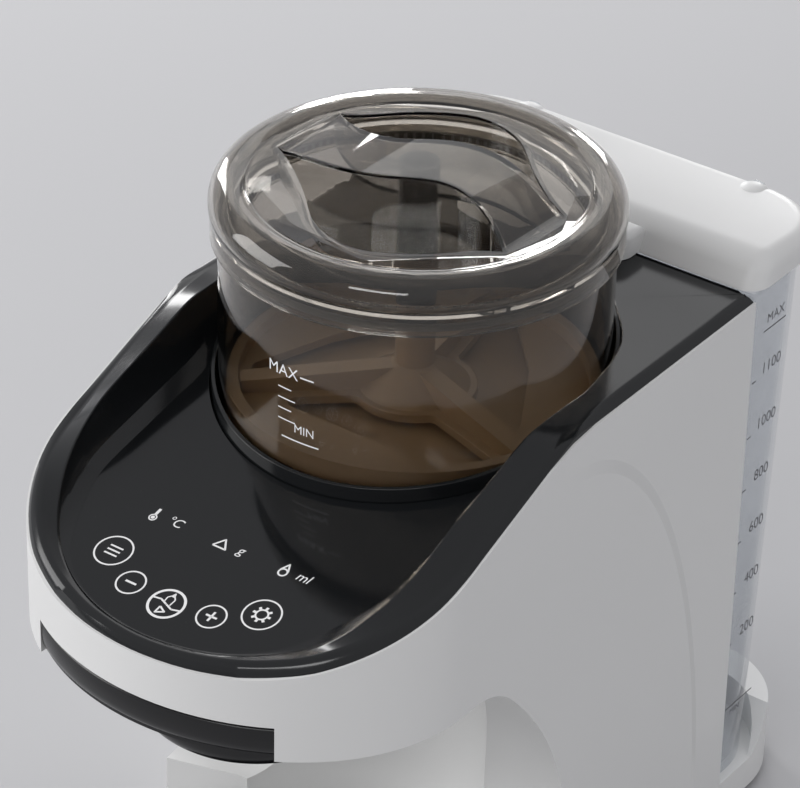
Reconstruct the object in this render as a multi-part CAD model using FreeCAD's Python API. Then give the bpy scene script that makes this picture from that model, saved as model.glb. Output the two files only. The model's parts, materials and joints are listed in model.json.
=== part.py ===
import FreeCAD, Part
import math
import os

# Baby formula maker. Millimetres, +Z up, the front faces -Y, +X is on the right seen from the front.
# The origin is the middle of the footprint, on the table.

V = FreeCAD.Vector

# ---- overall sizes -------------------------------------------------------------------------
body_width = 205.0
head_front_y = -185.0
head_nose_depth = 86.0
deck_height = 282.0
head_bottom = deck_height - 97.5
column_rear_y = 111.5
rear_y = 185.0
housing_bottom = 12.0

# ---- walls and clearances -------------------------------------------------------------------
wall = 2.8
thin_wall = 2.2
gap = 0.3
running_gap = 0.05
screw_play = 0.2
screw_radius = 1.5
screw_head_radius = 2.8
screw_head_height = 1.8

# ---- bottle bay under the head ---------------------------------------------------------------
bay_start_y = -90.5
bay_corner_radius = 35.0
bay_curve_radius = 171.0
bay_toe_radius = 22.0
wing_width = 35.5
wing_slope = 10.0
bay_channel_radius = 67.5
bay_channel_y = -50.0

# ---- top deck and its sloping touch panel -----------------------------------------------------
seam_rear_z = deck_height - 3.0
seam_front_z = deck_height - 61.0
seam_mid_y = -100.0
seam_mid_z = deck_height - 32.0
seam_slope = 0.39
seam_blend = 16.0
cheek_start_y = -33.0
cheek_mid_y = -96.0
cheek_mid_z = deck_height - 22.5
cheek_end_y = -160.0
panel_height = deck_height - 20.0
panel_slope = 0.21
panel_thickness = 2.0
pocket_front_margin = 8.0
deck_skin = 2.5
deck_skirt = 40.0
tab_half = 42.2
tab_front_y = 96.8

# ---- ledges, lugs and screw posts in the housing -------------------------------------------------
ledge_front_y = -32.0
ledge_rear_y = 78.0
ledge_half = 10.0
ledge_depth = 7.0
ledge_height = 8.0
deck_post_margin = 5.0
deck_post_radius = 4.0
deck_screw_front_y = -70.0
deck_screw_margin = 13.5
deck_screw_length = 10.0
deck_lug_drop = 10.0
lug_thickness = 3.0

# ---- powder jar -------------------------------------------------------------------------------
jar_axis_y = 6.0
jar_radius = 83.0
jar_bottom = deck_height - 41.0
jar_top = deck_height + 52.0
jar_floor = 3.0
wheel_radius = 79.5
wheel_bottom = deck_height - 33.0
wheel_thickness = 4.0
wheel_rim_height = 6.0
wheel_rim_width = 5.0
wheel_hub_radius = 27.0
spoke_half = 9.0
pocket_edge = 47.5
pocket_skew = -12.4
pocket_round = 4.0
outlet_radius = 11.0
outlet_reach = 58.0
jar_boss_radius = 20.0
post_radius = 8.5
post_top = deck_height + 5.0
hub_cone_radius = 24.0
hub_cone_height = 11.0
arm_count = 3
arm_angle = -18.0
arm_width = 9.0
arm_end_height = 6.0
collar_wall = 1.8
collar_gap = 1.2
collar_rise = 6.3
collar_plate_front_y = -60.0
collar_plate_margin = 15.5

# ---- jar lid ----------------------------------------------------------------------------------
lid_radius = 86.9
lid_skirt_radius = 86.3
lid_skirt_bottom = jar_top - 7.5
lid_rim_tube = 10.7
lid_rim_height = jar_top + 6.2
lid_disc_radius = 69.0
lid_disc_drop = 1.5
well_depth = 16.0
handle_rise = 10.8
handle_span = 60.0
lid_plug_clearance = 0.4
lid_hub_radius = 8.6
seal_height = 3.0

# ---- drive ------------------------------------------------------------------------------------
gear_module = 1.5
drive_teeth = 48
pinion_teeth = 12
gear_addendum = 0.8
gear_dedendum = 1.1
gear_backlash = 0.25
pressure_angle = 20.0
gear_thickness = 7.0
gear_bottom = deck_height - 64.0
gear_hub_radius = 9.0
gearbox_floor_z = gear_bottom - 7.0
gearbox_floor = 3.0
gearbox_wall = 2.5
shaft_radius = 4.0
bush_radius = 7.0
coupler_radius = 9.0
coupler_height = 3.5
coupler_bottom = jar_bottom + 1.0
coupler_key_reach = 11.0
coupler_key_width = 5.0
coupler_passage = 14.5
motor_radius = 16.0
motor_length = 48.0
motor_shaft_radius = 2.0
motor_shaft_length = 12.0

# ---- funnel drawer ------------------------------------------------------------------------------
drawer_half = 60.0
drawer_height = 16.0
drawer_plate = 2.5
drawer_rear_y = -42.0
funnel_y = -102.0
funnel_radius = 55.0
funnel_flange = 57.4
funnel_bottom = head_bottom - 35.0
funnel_taper = 3.0
rail_lead = 40.0
rail_drop = 4.0
funnel_corner = 10.0
funnel_fall = 1.5
funnel_flange_height = 2.2
spout_radius = 11.0
spout_bottom = funnel_bottom - 4.0

# ---- powder chute and water path -------------------------------------------------------------------
chute_wall = 1.6
chute_flange = 5.0
chute_arm_thickness = 2.5
chute_end_y = -74.0
chute_end_z = head_bottom + 19.5
nozzle_y = -108.0
nozzle_radius = 7.0
nozzle_bore = 3.0
nozzle_height = 16.0
nozzle_drop = 2.0
nozzle_flange = 2.0
hose_radius = 3.0
hose_bore = 2.0
hose_side_margin = 32.5
hose_lead = 8.0
hose_run = 14.0

# ---- water tank -----------------------------------------------------------------------------------
tank_bottom = 21.3
tank_top = deck_height - 1.0
tank_draft = 3.7
tank_rear_top_y = 174.6
tank_rear_bottom_y = 163.5
tank_corner = 40.0
tank_floor = 3.0
valve_y = 140.0
valve_hole = 9.0
valve_bore = 6.2
valve_bottom = 18.3
valve_top = 40.0
valve_flange = 12.5
valve_seat = 2.0
valve_head_radius = 5.6
valve_head_height = 2.0
valve_stem_radius = 2.0
valve_travel = 3.0
valve_seal_height = 1.0
spring_radius = 4.2
spring_wire = 0.6
spring_turns = 5
tank_lid_bottom = deck_height
tank_lid_rear_y = 184.0
tank_lid_height = 15.0
tank_lid_slope = 5.0
tank_lid_round = 8.0
tank_lid_corner = 38.0
tab_corner = 10.0
tab_top_drop = 3.0
hinge_x = 60.0
hinge_y = 178.5
hinge_z = tank_lid_bottom + 8.0
hinge_knuckle_width = 16.0
hinge_knuckle_radius = 5.5
hinge_pin_radius = 1.6
hinge_slot_reach = 9.0
hinge_ear_width = 5.0

# ---- base and drip tray -----------------------------------------------------------------------------
base_bottom = 4.5
base_plate_bottom = 2.0
base_inset = 3.0
boss_side_margin = 17.5
platform_half = 75.0
platform_front_y = -172.0
platform_nose = 70.0
platform_top = 13.7
dock_top = 21.0
dock_lip_top = 38.0
dock_lip_front_y = 138.0
dock_corner = 46.0
foot_radius = 9.0
dock_cup_radius = 13.5
dock_cup_flange = 18.0
dock_cup_bore = 10.0
dock_cup_bottom = 8.0
dock_pin_radius = 1.6
dock_barb_z = 15.1
tray_half = 72.0
tray_front_y = -168.0
tray_nose = 67.0
tray_rear_y = -41.0
tray_bottom = 14.0
tray_top = 26.0
grid_thickness = 2.5
grid_slot_width = 5.0
grid_slot_pitch = 11.0

# ---- things inside the column --------------------------------------------------------------------------
heater_x = 48.0
heater_y = 64.0
heater_radius = 24.0
heater_bottom = 62.0
heater_length = deck_height - heater_bottom - 134.0
pump_x = -50.0
pump_y = 60.0
pump_radius = 15.0
pump_bottom = 44.0
pump_length = 56.0
spigot_length = 7.0
strap_wall = 2.5
strap_height = 14.0
probe_radius = 1.5
board_thickness = 1.6
standoff_length = 6.0
standoff_radius = 3.0
board_side_margin = 10.5
main_board_inner = 12.0
main_board_bottom = deck_height - 164.0
main_board_height = 82.0
power_board_inner = 8.0
power_board_bottom = deck_height - 122.0
power_board_height = 62.0
inlet_side_margin = 42.5
inlet_width = 26.0
inlet_height = 15.0
inlet_depth = 20.0

# ---- worked out from the sizes above ---------------------------------------------------------------------
half_width = body_width / 2
nose_centre_y = head_front_y + head_nose_depth
tank_half_top = half_width - gap
tank_half_bottom = tank_half_top - tank_draft
inlet_x = inlet_side_margin - half_width
pocket_half = jar_radius + collar_gap + collar_wall + gap
collar_inner = jar_radius + collar_gap
collar_outer = collar_inner + collar_wall
collar_floor_top = jar_bottom - gap
collar_floor_bottom = collar_floor_top - deck_skin
drive_pitch_radius = gear_module * drive_teeth / 2
pinion_pitch_radius = gear_module * pinion_teeth / 2
motor_y = jar_axis_y + drive_pitch_radius + pinion_pitch_radius
drawer_top = head_bottom + drawer_height
drawer_plate_bottom = head_bottom + wall + gap
drawer_plate_top = drawer_plate_bottom + drawer_plate
tank_front_y = column_rear_y + gap
lid_crest_z = lid_rim_height + lid_rim_tube
lid_disc_z = lid_crest_z - lid_disc_drop
lid_rib_radius = jar_radius - thin_wall - gap - 2.0
lid_rib_bottom = jar_top - 8.0
below_all = -10.0
above_all = 500.0
beyond = 400.0


def box(x0, x1, y0, y1, z0, z1):
    return Part.makeBox(x1 - x0, y1 - y0, z1 - z0, V(x0, y0, z0))


def cylinder(radius, z0, z1, x=0.0, y=0.0):
    return Part.makeCylinder(radius, z1 - z0, V(x, y, z0), V(0, 0, 1))


def cone(radius0, radius1, z0, z1, x=0.0, y=0.0):
    return Part.makeCone(radius0, radius1, z1 - z0, V(x, y, z0), V(0, 0, 1))


def ring(outer, inner, z0, z1, x=0.0, y=0.0):
    return cylinder(outer, z0, z1, x, y).cut(cylinder(inner, z0 - 1, z1 + 1, x, y))


def fuse(shapes):
    joined = shapes[0]
    for shape in shapes[1:]:
        joined = joined.fuse(shape)
    return joined.removeSplitter()


def cut(shape, tools):
    for tool in tools:
        shape = shape.cut(tool)
    return shape


def mirrored(shape):
    return shape.mirror(V(0, 0, 0), V(1, 0, 0))


def about_jar(shape, degrees):
    turned = shape.copy()
    turned.rotate(V(0, jar_axis_y, 0), V(0, 0, 1), degrees)
    return turned


def polygon_wire(points):
    return Part.makePolygon(points + [points[0]])


def side_prism(points, x0, x1):
    """A prism along X whose section is a polygon of (y, z) points."""
    outline = polygon_wire([V(x0, y, z) for y, z in points])
    return Part.Face(outline).extrude(V(x1 - x0, 0, 0))


def upright(wire, z0, z1):
    """A flat wire at z = 0 raised into a solid from z0 to z1."""
    face = Part.Face(wire)
    face.translate(V(0, 0, z0))
    return face.extrude(V(0, 0, z1 - z0))


def half_ellipse(rx, ry, centre_y):
    """The front half of an ellipse, from its left end round to its right end."""
    centre = V(0, centre_y, 0)
    if rx >= ry:
        whole = Part.Ellipse(V(rx, centre_y, 0), V(0, centre_y + ry, 0), centre)
        return Part.ArcOfEllipse(whole, math.pi, 2 * math.pi).toShape()
    whole = Part.Ellipse(V(0, centre_y - ry, 0), V(rx, centre_y, 0), centre)
    return Part.ArcOfEllipse(whole, -math.pi / 2, math.pi / 2).toShape()


def rounded_front_plan(rx, ry, centre_y, rear):
    """Plan outline: a half ellipse at the front, straight sides, a square rear."""
    front = half_ellipse(rx, ry, centre_y)
    right = Part.makeLine(V(rx, centre_y, 0), V(rx, rear, 0))
    back = Part.makeLine(V(rx, rear, 0), V(-rx, rear, 0))
    left = Part.makeLine(V(-rx, rear, 0), V(-rx, centre_y, 0))
    edges = Part.__sortEdges__([front, right, back, left])
    return Part.Wire(edges)


def body_plan(inset, rear):
    return rounded_front_plan(half_width - inset, head_nose_depth - inset, nose_centre_y, rear)


def rounded_rear_plan(half, front, rear, corner):
    """Plan outline with a straight front and two rounded rear corners."""
    radius = min(corner, half, rear - front)
    diagonal = radius * math.sqrt(0.5)
    right_mid = V(half - radius + diagonal, rear - radius + diagonal, 0)
    left_mid = V(-right_mid.x, right_mid.y, 0)
    right_arc = Part.Arc(V(half, rear - radius, 0), right_mid, V(half - radius, rear, 0))
    left_arc = Part.Arc(V(radius - half, rear, 0), left_mid, V(-half, rear - radius, 0))
    edges = [
        Part.makeLine(V(-half, front, 0), V(half, front, 0)),
        Part.makeLine(V(half, front, 0), V(half, rear - radius, 0)),
        right_arc.toShape(),
        Part.makeLine(V(half - radius, rear, 0), V(radius - half, rear, 0)),
        left_arc.toShape(),
        Part.makeLine(V(-half, rear - radius, 0), V(-half, front, 0)),
    ]
    return Part.Wire(Part.__sortEdges__(edges))


# ---- surfaces that several pieces share ----------------------------------------------------------

def panel_z(y):
    return panel_height + panel_slope * y


def below_panel(offset, x_half):
    """Everything under the sloping panel plane moved up or down by offset."""
    y0 = -beyond
    y1 = beyond
    points = [(y0, below_all), (y1, below_all), (y1, panel_z(y1) + offset), (y0, panel_z(y0) + offset)]
    return side_prism(points, -x_half, x_half)


def above_panel(offset, x_half):
    y0 = -beyond
    y1 = beyond
    top = panel_z(y1) + above_all
    points = [(y0, panel_z(y0) + offset), (y1, panel_z(y1) + offset), (y1, top), (y0, top)]
    return side_prism(points, -x_half, x_half)


def seam_points(drop):
    """The line along the side where the white housing meets the black deck, rear to front."""
    top_y = seam_mid_y + (seam_rear_z - seam_mid_z) / seam_slope
    low_y = seam_mid_y - (seam_mid_z - seam_front_z) / seam_slope
    blend = seam_blend
    return [
        (beyond, seam_rear_z - drop),
        (top_y + blend, seam_rear_z - drop),
        (top_y, seam_rear_z - drop - seam_slope * blend / 4),
        (top_y - blend, seam_rear_z - drop - seam_slope * blend),
        (low_y + blend, seam_front_z - drop + seam_slope * blend),
        (low_y, seam_front_z - drop + seam_slope * blend / 4),
        (low_y - blend, seam_front_z - drop),
        (-beyond, seam_front_z - drop),
    ]


def under_seam(drop, x_half):
    line = seam_points(drop)
    return side_prism([(line[0][0], below_all)] + line + [(line[-1][0], below_all)], -x_half, x_half)


def under_cheeks(drop, x_half):
    """Everything under the S-shaped top line of the deck's two cheeks."""
    knots = [
        (cheek_start_y, deck_height - drop),
        (cheek_mid_y, cheek_mid_z - drop),
        (cheek_end_y, panel_z(cheek_end_y) + 1.0 - drop),
    ]
    curve = Part.BSplineCurve()
    start = V(-x_half, knots[0][0], knots[0][1])
    middle = V(-x_half, knots[1][0], knots[1][1])
    end = V(-x_half, knots[2][0], knots[2][1])
    level = V(0, -1, 0)
    sloping = V(0, -1, -panel_slope)
    falling = V(0, -1, -(knots[0][1] - knots[2][1]) / (knots[0][0] - knots[2][0]))
    tangents = [level, falling, sloping]
    curve.interpolate(Points=[start, middle, end], Tangents=tangents, TangentFlags=[True] * len(tangents))
    front = V(-x_half, -beyond, end.z - panel_slope * (end.y + beyond))
    rear = V(-x_half, beyond, start.z)
    front_low = V(-x_half, -beyond, below_all)
    rear_low = V(-x_half, beyond, below_all)
    edges = [
        Part.makeLine(rear, start),
        curve.toShape(),
        Part.makeLine(end, front),
        Part.makeLine(front, front_low),
        Part.makeLine(front_low, rear_low),
        Part.makeLine(rear_low, rear),
    ]
    return Part.Face(Part.Wire(edges)).extrude(V(2 * x_half, 0, 0))


def pocket_plan(inset):
    """The U-shaped pocket in the deck that holds the panel, from the front to the jar's axis."""
    front = nose_centre_y - (head_front_y + pocket_front_margin)
    return rounded_front_plan(pocket_half - inset, front - inset, nose_centre_y, jar_axis_y)


def bay_profile(x, grow, shift_y):
    """The side view of the space in front of the column and under the head."""
    corner = bay_corner_radius + grow
    curve = bay_curve_radius + grow
    slant = math.sqrt(0.5)
    y0 = bay_start_y + shift_y
    top = head_bottom + grow
    c1 = V(x, y0, head_bottom - bay_corner_radius)
    reach = bay_curve_radius - bay_corner_radius
    c2 = V(x, y0 - reach * slant, c1.z - reach * slant)
    split = V(x, c1.y + corner * slant, c1.z + corner * slant)
    quarter = math.radians(67.5)
    arc1_mid = V(x, c1.y + corner * math.cos(quarter), c1.z + corner * math.sin(quarter))
    eighth = math.radians(22.5)
    arc2_mid = V(x, c2.y + curve * math.cos(eighth), c2.z + curve * math.sin(eighth))
    straight = V(x, c2.y + curve, c2.z)
    toe = bay_toe_radius + grow
    c3 = V(x, straight.y - toe, c2.z)
    toe_end = V(x, c3.y + grow, c3.z - math.sqrt(toe ** 2 - grow ** 2))
    toe_mid = V(x, c3.y + toe * slant, c3.z - toe * slant)
    edges = [
        Part.makeLine(V(x, -beyond, top), V(x, y0, top)),
        Part.Arc(V(x, y0, top), arc1_mid, split).toShape(),
        Part.Arc(split, arc2_mid, straight).toShape(),
        Part.Arc(straight, toe_mid, toe_end).toShape(),
        Part.makeLine(toe_end, V(x, toe_end.y, below_all)),
        Part.makeLine(V(x, toe_end.y, below_all), V(x, -beyond, below_all)),
        Part.makeLine(V(x, -beyond, below_all), V(x, -beyond, top)),
    ]
    return Part.Face(Part.Wire(edges))


def bay_space(grow):
    """The bottle bay: sloping wing fronts at both sides and a round channel between them."""
    edge_x = half_width + 1.0
    inner_x = half_width - wing_width
    lead = wing_slope / wing_width
    start_shift = -lead * (edge_x - half_width)
    sweep = V(inner_x - edge_x, wing_slope - start_shift, 0)
    wing = bay_profile(edge_x, grow, start_shift).extrude(sweep)
    middle = bay_profile(inner_x, grow, wing_slope).extrude(V(-2 * inner_x, 0, 0))
    channel = cylinder(bay_channel_radius + grow, below_all, head_bottom + grow, 0, bay_channel_y)
    return fuse([wing, middle, mirrored(wing), channel])


# ---- housing and its covers --------------------------------------------------------------------

def ledge_spots():
    """Where the collar plate rests on the housing's inner side walls, as (side, y) pairs."""
    return [(side, y) for side in (-1, 1) for y in (ledge_front_y, ledge_rear_y)]


def deck_screw_spots():
    reach = half_width - wall - deck_post_margin
    rows = (deck_screw_front_y, column_rear_y - deck_screw_margin)
    return [(side * reach, y) for side in (-1, 1) for y in rows]


def drawer_opening():
    """The slot in the head's front and floor that the funnel drawer slides in."""
    half = drawer_half + gap
    front = box(-half, half, -beyond, nose_centre_y, head_bottom - 1, drawer_top + gap)
    slot_radius = funnel_radius + 1.0 + gap
    slot = box(-slot_radius, slot_radius, -beyond, funnel_y, head_bottom - 1, head_bottom + wall + 1)
    slot_end = cylinder(slot_radius, head_bottom - 1, head_bottom + wall + 1, 0, funnel_y)
    lip = upright(body_plan(wall + gap, beyond), below_all, drawer_plate_bottom - gap)
    front = front.cut(lip)
    return fuse([front, slot, slot_end])


def side_block(side, inner_x, y, half, low, high):
    """A block that stands inwards from the middle of the side wall."""
    outer_x = side * (half_width - wall / 2)
    return box(min(inner_x, outer_x), max(inner_x, outer_x), y - half, y + half, low, high)


def make_housing():
    outer = upright(body_plan(0.0, column_rear_y), housing_bottom, deck_height)
    outer = outer.common(under_seam(0.0, half_width + wall)).cut(bay_space(0.0))
    inner = upright(body_plan(wall, beyond), below_all, above_all).cut(bay_space(wall))
    parts = [outer.cut(inner)]
    for side, y in ledge_spots():
        inner_x = side * (half_width - wall - ledge_depth)
        low = collar_floor_bottom - ledge_height
        parts.append(side_block(side, inner_x, y, ledge_half, low, collar_floor_bottom))
    holes = []
    for x, y in deck_screw_spots():
        side = math.copysign(1.0, x)
        top = deck_lug_top(y)
        inner_x = x - side * deck_post_radius
        parts.append(side_block(side, inner_x, y, deck_post_radius, top - lug_thickness, top))
        holes.append(cylinder(screw_radius + screw_play, top - 2 * lug_thickness, top + 1, x, y))
    return cut(fuse(parts).cut(drawer_opening()), holes)


def deck_lug_top(y):
    return min(panel_z(y), seam_rear_z) - panel_thickness - deck_skin - deck_lug_drop


def make_rear_panel():
    """Closes the column behind; the boards, the pump and the heater are fixed to it."""
    half = half_width - wall - gap / 2
    plate = box(-half, half, column_rear_y - wall, column_rear_y, housing_bottom + gap, seam_rear_z - 1.0)
    notch = box(-hose_radius - 1.0, hose_radius + 1.0, 0, beyond, below_all, dock_barb_z + hose_radius + 1.0)
    return plate.cut(notch)


def make_top_deck():
    """The black deck: a shell over the seam line, with the panel's pocket floor inside it."""
    wide = half_width + wall
    block = upright(body_plan(0.0, column_rear_y), seam_front_z - deck_skirt, deck_height)
    block = block.common(under_cheeks(0.0, wide))
    inside = upright(body_plan(wall + gap, column_rear_y - wall - gap), below_all, above_all)
    block = block.cut(under_seam(0.0, wide).cut(inside))
    seat = above_panel(-panel_thickness, wide)
    pocket = upright(pocket_plan(0.0), below_all, above_all).common(seat)
    jar_hole = cylinder(collar_outer + gap, below_all, above_all, 0, jar_axis_y)
    room = upright(body_plan(wall + gap + deck_skin, column_rear_y - deck_skin), below_all, above_all)
    low_room = room.common(below_panel(-panel_thickness - deck_skin, wide))
    pocket_wall = upright(pocket_plan(-deck_skin), below_all, above_all)
    hole_wall = cylinder(collar_outer + gap + deck_skin, below_all, above_all, 0, jar_axis_y)
    high_room = cut(room.common(under_cheeks(deck_skin, wide)), [pocket_wall, hole_wall])
    deck = cut(block, [pocket, jar_hole, low_room, high_room, under_inside_edge()])
    posts = []
    for x, y in deck_screw_spots():
        low = deck_lug_top(y)
        post = cylinder(deck_post_radius, low, deck_height - deck_skin / 2, x, y)
        post = post.common(under_cheeks(deck_skin / 2, wide))
        posts.append(post.cut(cylinder(screw_radius, low - 1, low + deck_screw_length - 1, x, y)))
    return fuse([deck] + posts)


def under_inside_edge():
    """Trims the deck's inner skirt so that it reaches only a little way below the seam."""
    wide = half_width + wall
    return under_seam(3 * deck_skin, wide).common(below_panel(-panel_thickness - deck_skin, wide))


def make_deck_screws():
    screws = []
    for x, y in deck_screw_spots():
        head_top = deck_lug_top(y) - lug_thickness
        shank = cylinder(screw_radius, head_top - screw_head_height / 2, head_top + deck_screw_length, x, y)
        head = cylinder(screw_head_radius, head_top - screw_head_height, head_top, x, y)
        screws.append(shank.fuse(head))
    return Part.makeCompound(screws)


def make_touch_panel():
    plate = upright(pocket_plan(0.2), below_all, above_all)
    plate = plate.common(above_panel(-panel_thickness, half_width)).common(below_panel(0.0, half_width))
    hole = cylinder(collar_outer + 2 * gap, below_all, above_all, 0, jar_axis_y)
    behind = box(-half_width, half_width, jar_axis_y - 26.0, beyond, below_all, above_all)
    return cut(plate, [hole, behind])


def make_jar_collar():
    """The round wall that the powder jar stands in."""
    wall_ring = ring(collar_outer, collar_inner, collar_floor_top, deck_height - 0.5, 0, jar_axis_y)
    return wall_ring.common(below_panel(collar_rise, half_width))


def make_collar_plate():
    """The plate under the jar, on the housing's ledges, that carries the collar and the gearbox."""
    side = half_width - 2 * wall
    rear = column_rear_y - collar_plate_margin
    plate = box(-side, side, collar_plate_front_y, rear, collar_floor_bottom, collar_floor_top)
    plate = fuse([plate, cylinder(collar_outer, collar_floor_bottom, collar_floor_top, 0, jar_axis_y)])
    centre = cylinder(coupler_passage, below_all, above_all, 0, jar_axis_y)
    outlet = cylinder(outlet_radius, below_all, above_all, 0, jar_axis_y - outlet_reach)
    holes = [cylinder(screw_radius + running_gap, 0, above_all, x, y) for x, y in gearbox_screw_spots()]
    return cut(plate, [centre, outlet] + holes)


# ---- powder jar and what turns in it ------------------------------------------------------------

def make_powder_jar():
    body = ring(jar_radius, jar_radius - thin_wall, jar_bottom, jar_top, 0, jar_axis_y)
    foot = ring(jar_radius - thin_wall / 2, wheel_radius - 4.0, jar_bottom, jar_bottom + 2.0, 0, jar_axis_y)
    return fuse([body, foot])


def make_jar_base():
    low = jar_bottom + 2.0
    disc = cylinder(jar_radius - thin_wall - 0.1, low, low + jar_floor, 0, jar_axis_y)
    boss = cylinder(jar_boss_radius, low, wheel_bottom - gap, 0, jar_axis_y)
    chute = cylinder(outlet_radius + 2.0, jar_bottom, wheel_bottom - gap, 0, jar_axis_y - outlet_reach)
    base = fuse([disc, boss, chute])
    outlet = cylinder(outlet_radius, 0, above_all, 0, jar_axis_y - outlet_reach)
    centre = cylinder(coupler_passage, 0, above_all, 0, jar_axis_y)
    return cut(base, [outlet, centre])


def wheel_pocket():
    """One opening of the wheel, between two spokes, the hub and a straight outer edge."""
    slant = math.radians(180.0 / arm_count)
    top = wheel_bottom + wheel_thickness + 1
    near = spoke_half / math.sin(slant)
    far_x = near + wheel_radius * math.cos(slant)
    far_y = wheel_radius * math.sin(slant)
    between = polygon_wire([V(near, 0, 0), V(far_x, -far_y, 0), V(far_x, far_y, 0)])
    opening = upright(between, wheel_bottom - 1, top)
    inside = ring(wheel_radius - 2 * wheel_rim_width + gap, wheel_hub_radius, wheel_bottom - 2, top + 1)
    edge = box(pocket_edge, beyond, -beyond, beyond, below_all, above_all)
    edge.rotate(V(0, 0, 0), V(0, 0, 1), pocket_skew)
    opening = opening.common(inside).cut(edge)
    corners = [edge for edge in opening.Edges if edge.BoundBox.ZLength > wheel_thickness]
    opening = opening.makeFillet(pocket_round, corners)
    opening.translate(V(0, jar_axis_y, 0))
    return opening


def make_powder_wheel():
    """A spoked dish that carries powder round to the outlet in the jar's floor."""
    top = wheel_bottom + wheel_thickness
    disc = cylinder(wheel_radius, wheel_bottom, top, 0, jar_axis_y)
    rim = ring(wheel_radius, wheel_radius - wheel_rim_width, top, top + wheel_rim_height, 0, jar_axis_y)
    wheel = fuse([disc, rim])
    step = 360.0 / arm_count
    pockets = [about_jar(wheel_pocket(), arm_angle + step * (index + 0.5)) for index in range(arm_count)]
    socket = cylinder(coupler_radius + gap, wheel_bottom - 1, wheel_bottom + coupler_height, 0, jar_axis_y)
    key_half = coupler_key_width / 2 + gap
    key_reach = coupler_key_reach + gap
    keyway = box(-key_reach, key_reach, jar_axis_y - key_half, jar_axis_y + key_half,
                 wheel_bottom - 1, wheel_bottom + coupler_height)
    return cut(wheel, pockets + [socket, keyway])


def make_agitator():
    """Round-topped post on a cone, with three arms that fall a little towards the wheel's rim."""
    foot = wheel_bottom + wheel_thickness
    dome = Part.makeSphere(post_radius, V(0, jar_axis_y, post_top - post_radius))
    post = cylinder(post_radius, foot, post_top - post_radius, 0, jar_axis_y)
    hub = cone(hub_cone_radius, post_radius, foot, foot + hub_cone_height, 0, jar_axis_y)
    reach = wheel_radius - wheel_rim_width - 1.0
    inner_top = foot + hub_cone_height - 1.0
    parts = [post, dome, hub]
    step = 360.0 / arm_count
    for index in range(arm_count):
        points = [V(0, 0, foot), V(reach, 0, foot), V(reach, 0, foot + arm_end_height),
                  V(post_radius, 0, inner_top), V(0, 0, inner_top)]
        arm = Part.Face(polygon_wire(points)).extrude(V(0, arm_width, 0))
        arm.translate(V(0, jar_axis_y - arm_width / 2, 0))
        parts.append(about_jar(arm, step * index + arm_angle))
    return fuse(parts)


# ---- jar lid ------------------------------------------------------------------------------------------

def s_curve():
    """The front edge of the S-shaped handle, left to right, measured from the jar's axis."""
    return [(-63.0, -13.0), (-50.0, -18.0), (-36.0, -22.5), (-22.0, -24.5), (-8.0, -22.5), (5.0, -16.5),
            (15.0, -10.5), (25.0, -8.5), (37.0, -11.0), (50.0, -18.0), (60.0, -26.0)]


def well_rim():
    """The outer edge of the front finger well, right to left."""
    return [(60.0, -26.0), (49.0, -34.5), (40.5, -43.5), (27.0, -54.0), (13.0, -60.0), (0.0, -59.5),
            (-14.0, -53.0), (-28.0, -40.0), (-42.0, -27.5), (-63.0, -13.0)]


def smooth_edge(points, shift):
    curve = Part.BSplineCurve()
    curve.interpolate([V(x, jar_axis_y + y + shift, 0) for x, y in points])
    return curve.toShape()


def both_ways(shape):
    return fuse([shape, about_jar(shape, 180.0)])


def well(z0):
    outline = Part.Wire([smooth_edge(s_curve(), 0.0), smooth_edge(well_rim(), 0.0)])
    return both_ways(upright(outline, z0, above_all))


def well_with_walls(z0):
    face = Part.Face(Part.Wire([smooth_edge(s_curve(), 0.0), smooth_edge(well_rim(), 0.0)]))
    wide = face.makeOffset2D(thin_wall).OuterWire
    facets = 72
    corners = wide.discretize(Number=facets)
    return both_ways(upright(polygon_wire(corners[:-1]), z0, above_all))


def beside_handle():
    """All that lies in front of the handle's front edge or behind its rear edge."""
    first = s_curve()[0]
    last = s_curve()[-1]
    far = -2 * lid_radius
    left = V(far, jar_axis_y + first[1], 0)
    right = V(-far, jar_axis_y + last[1], 0)
    edges = [
        Part.makeLine(left, V(first[0], left.y, 0)),
        smooth_edge(s_curve(), 0.0),
        Part.makeLine(V(last[0], right.y, 0), right),
        Part.makeLine(right, V(right.x, far, 0)),
        Part.makeLine(V(right.x, far, 0), V(left.x, far, 0)),
        Part.makeLine(V(left.x, far, 0), left),
    ]
    return both_ways(upright(Part.Wire(edges), below_all, above_all))


def handle(inset):
    """The arched S-shaped band between the two wells, from just under the lid's disc."""
    crown = lid_disc_z + handle_rise - inset
    radius = (handle_span ** 2 + handle_rise ** 2) / (2 * handle_rise)
    arch = Part.makeCylinder(radius, 2 * lid_radius, V(0, -lid_radius, crown - radius), V(0, 1, 0))
    band = cylinder(lid_disc_radius - inset - 1.0, lid_disc_z - inset - 1.0, above_all, 0, jar_axis_y)
    return arch.common(band).cut(beside_handle())


def lid_form(inset):
    """The lid's round form without wells or handle, moved inwards by inset."""
    tube = lid_rim_tube - inset
    tube_circle = lid_radius - lid_rim_tube
    rim = Part.makeTorus(tube_circle, tube, V(0, jar_axis_y, lid_rim_height), V(0, 0, 1))
    core = cylinder(tube_circle, lid_rim_height - tube, lid_disc_z - inset, 0, jar_axis_y)
    skirt = cylinder(lid_skirt_radius - inset, lid_skirt_bottom - inset, lid_rim_height, 0, jar_axis_y)
    return fuse([rim, core, skirt])


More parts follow.
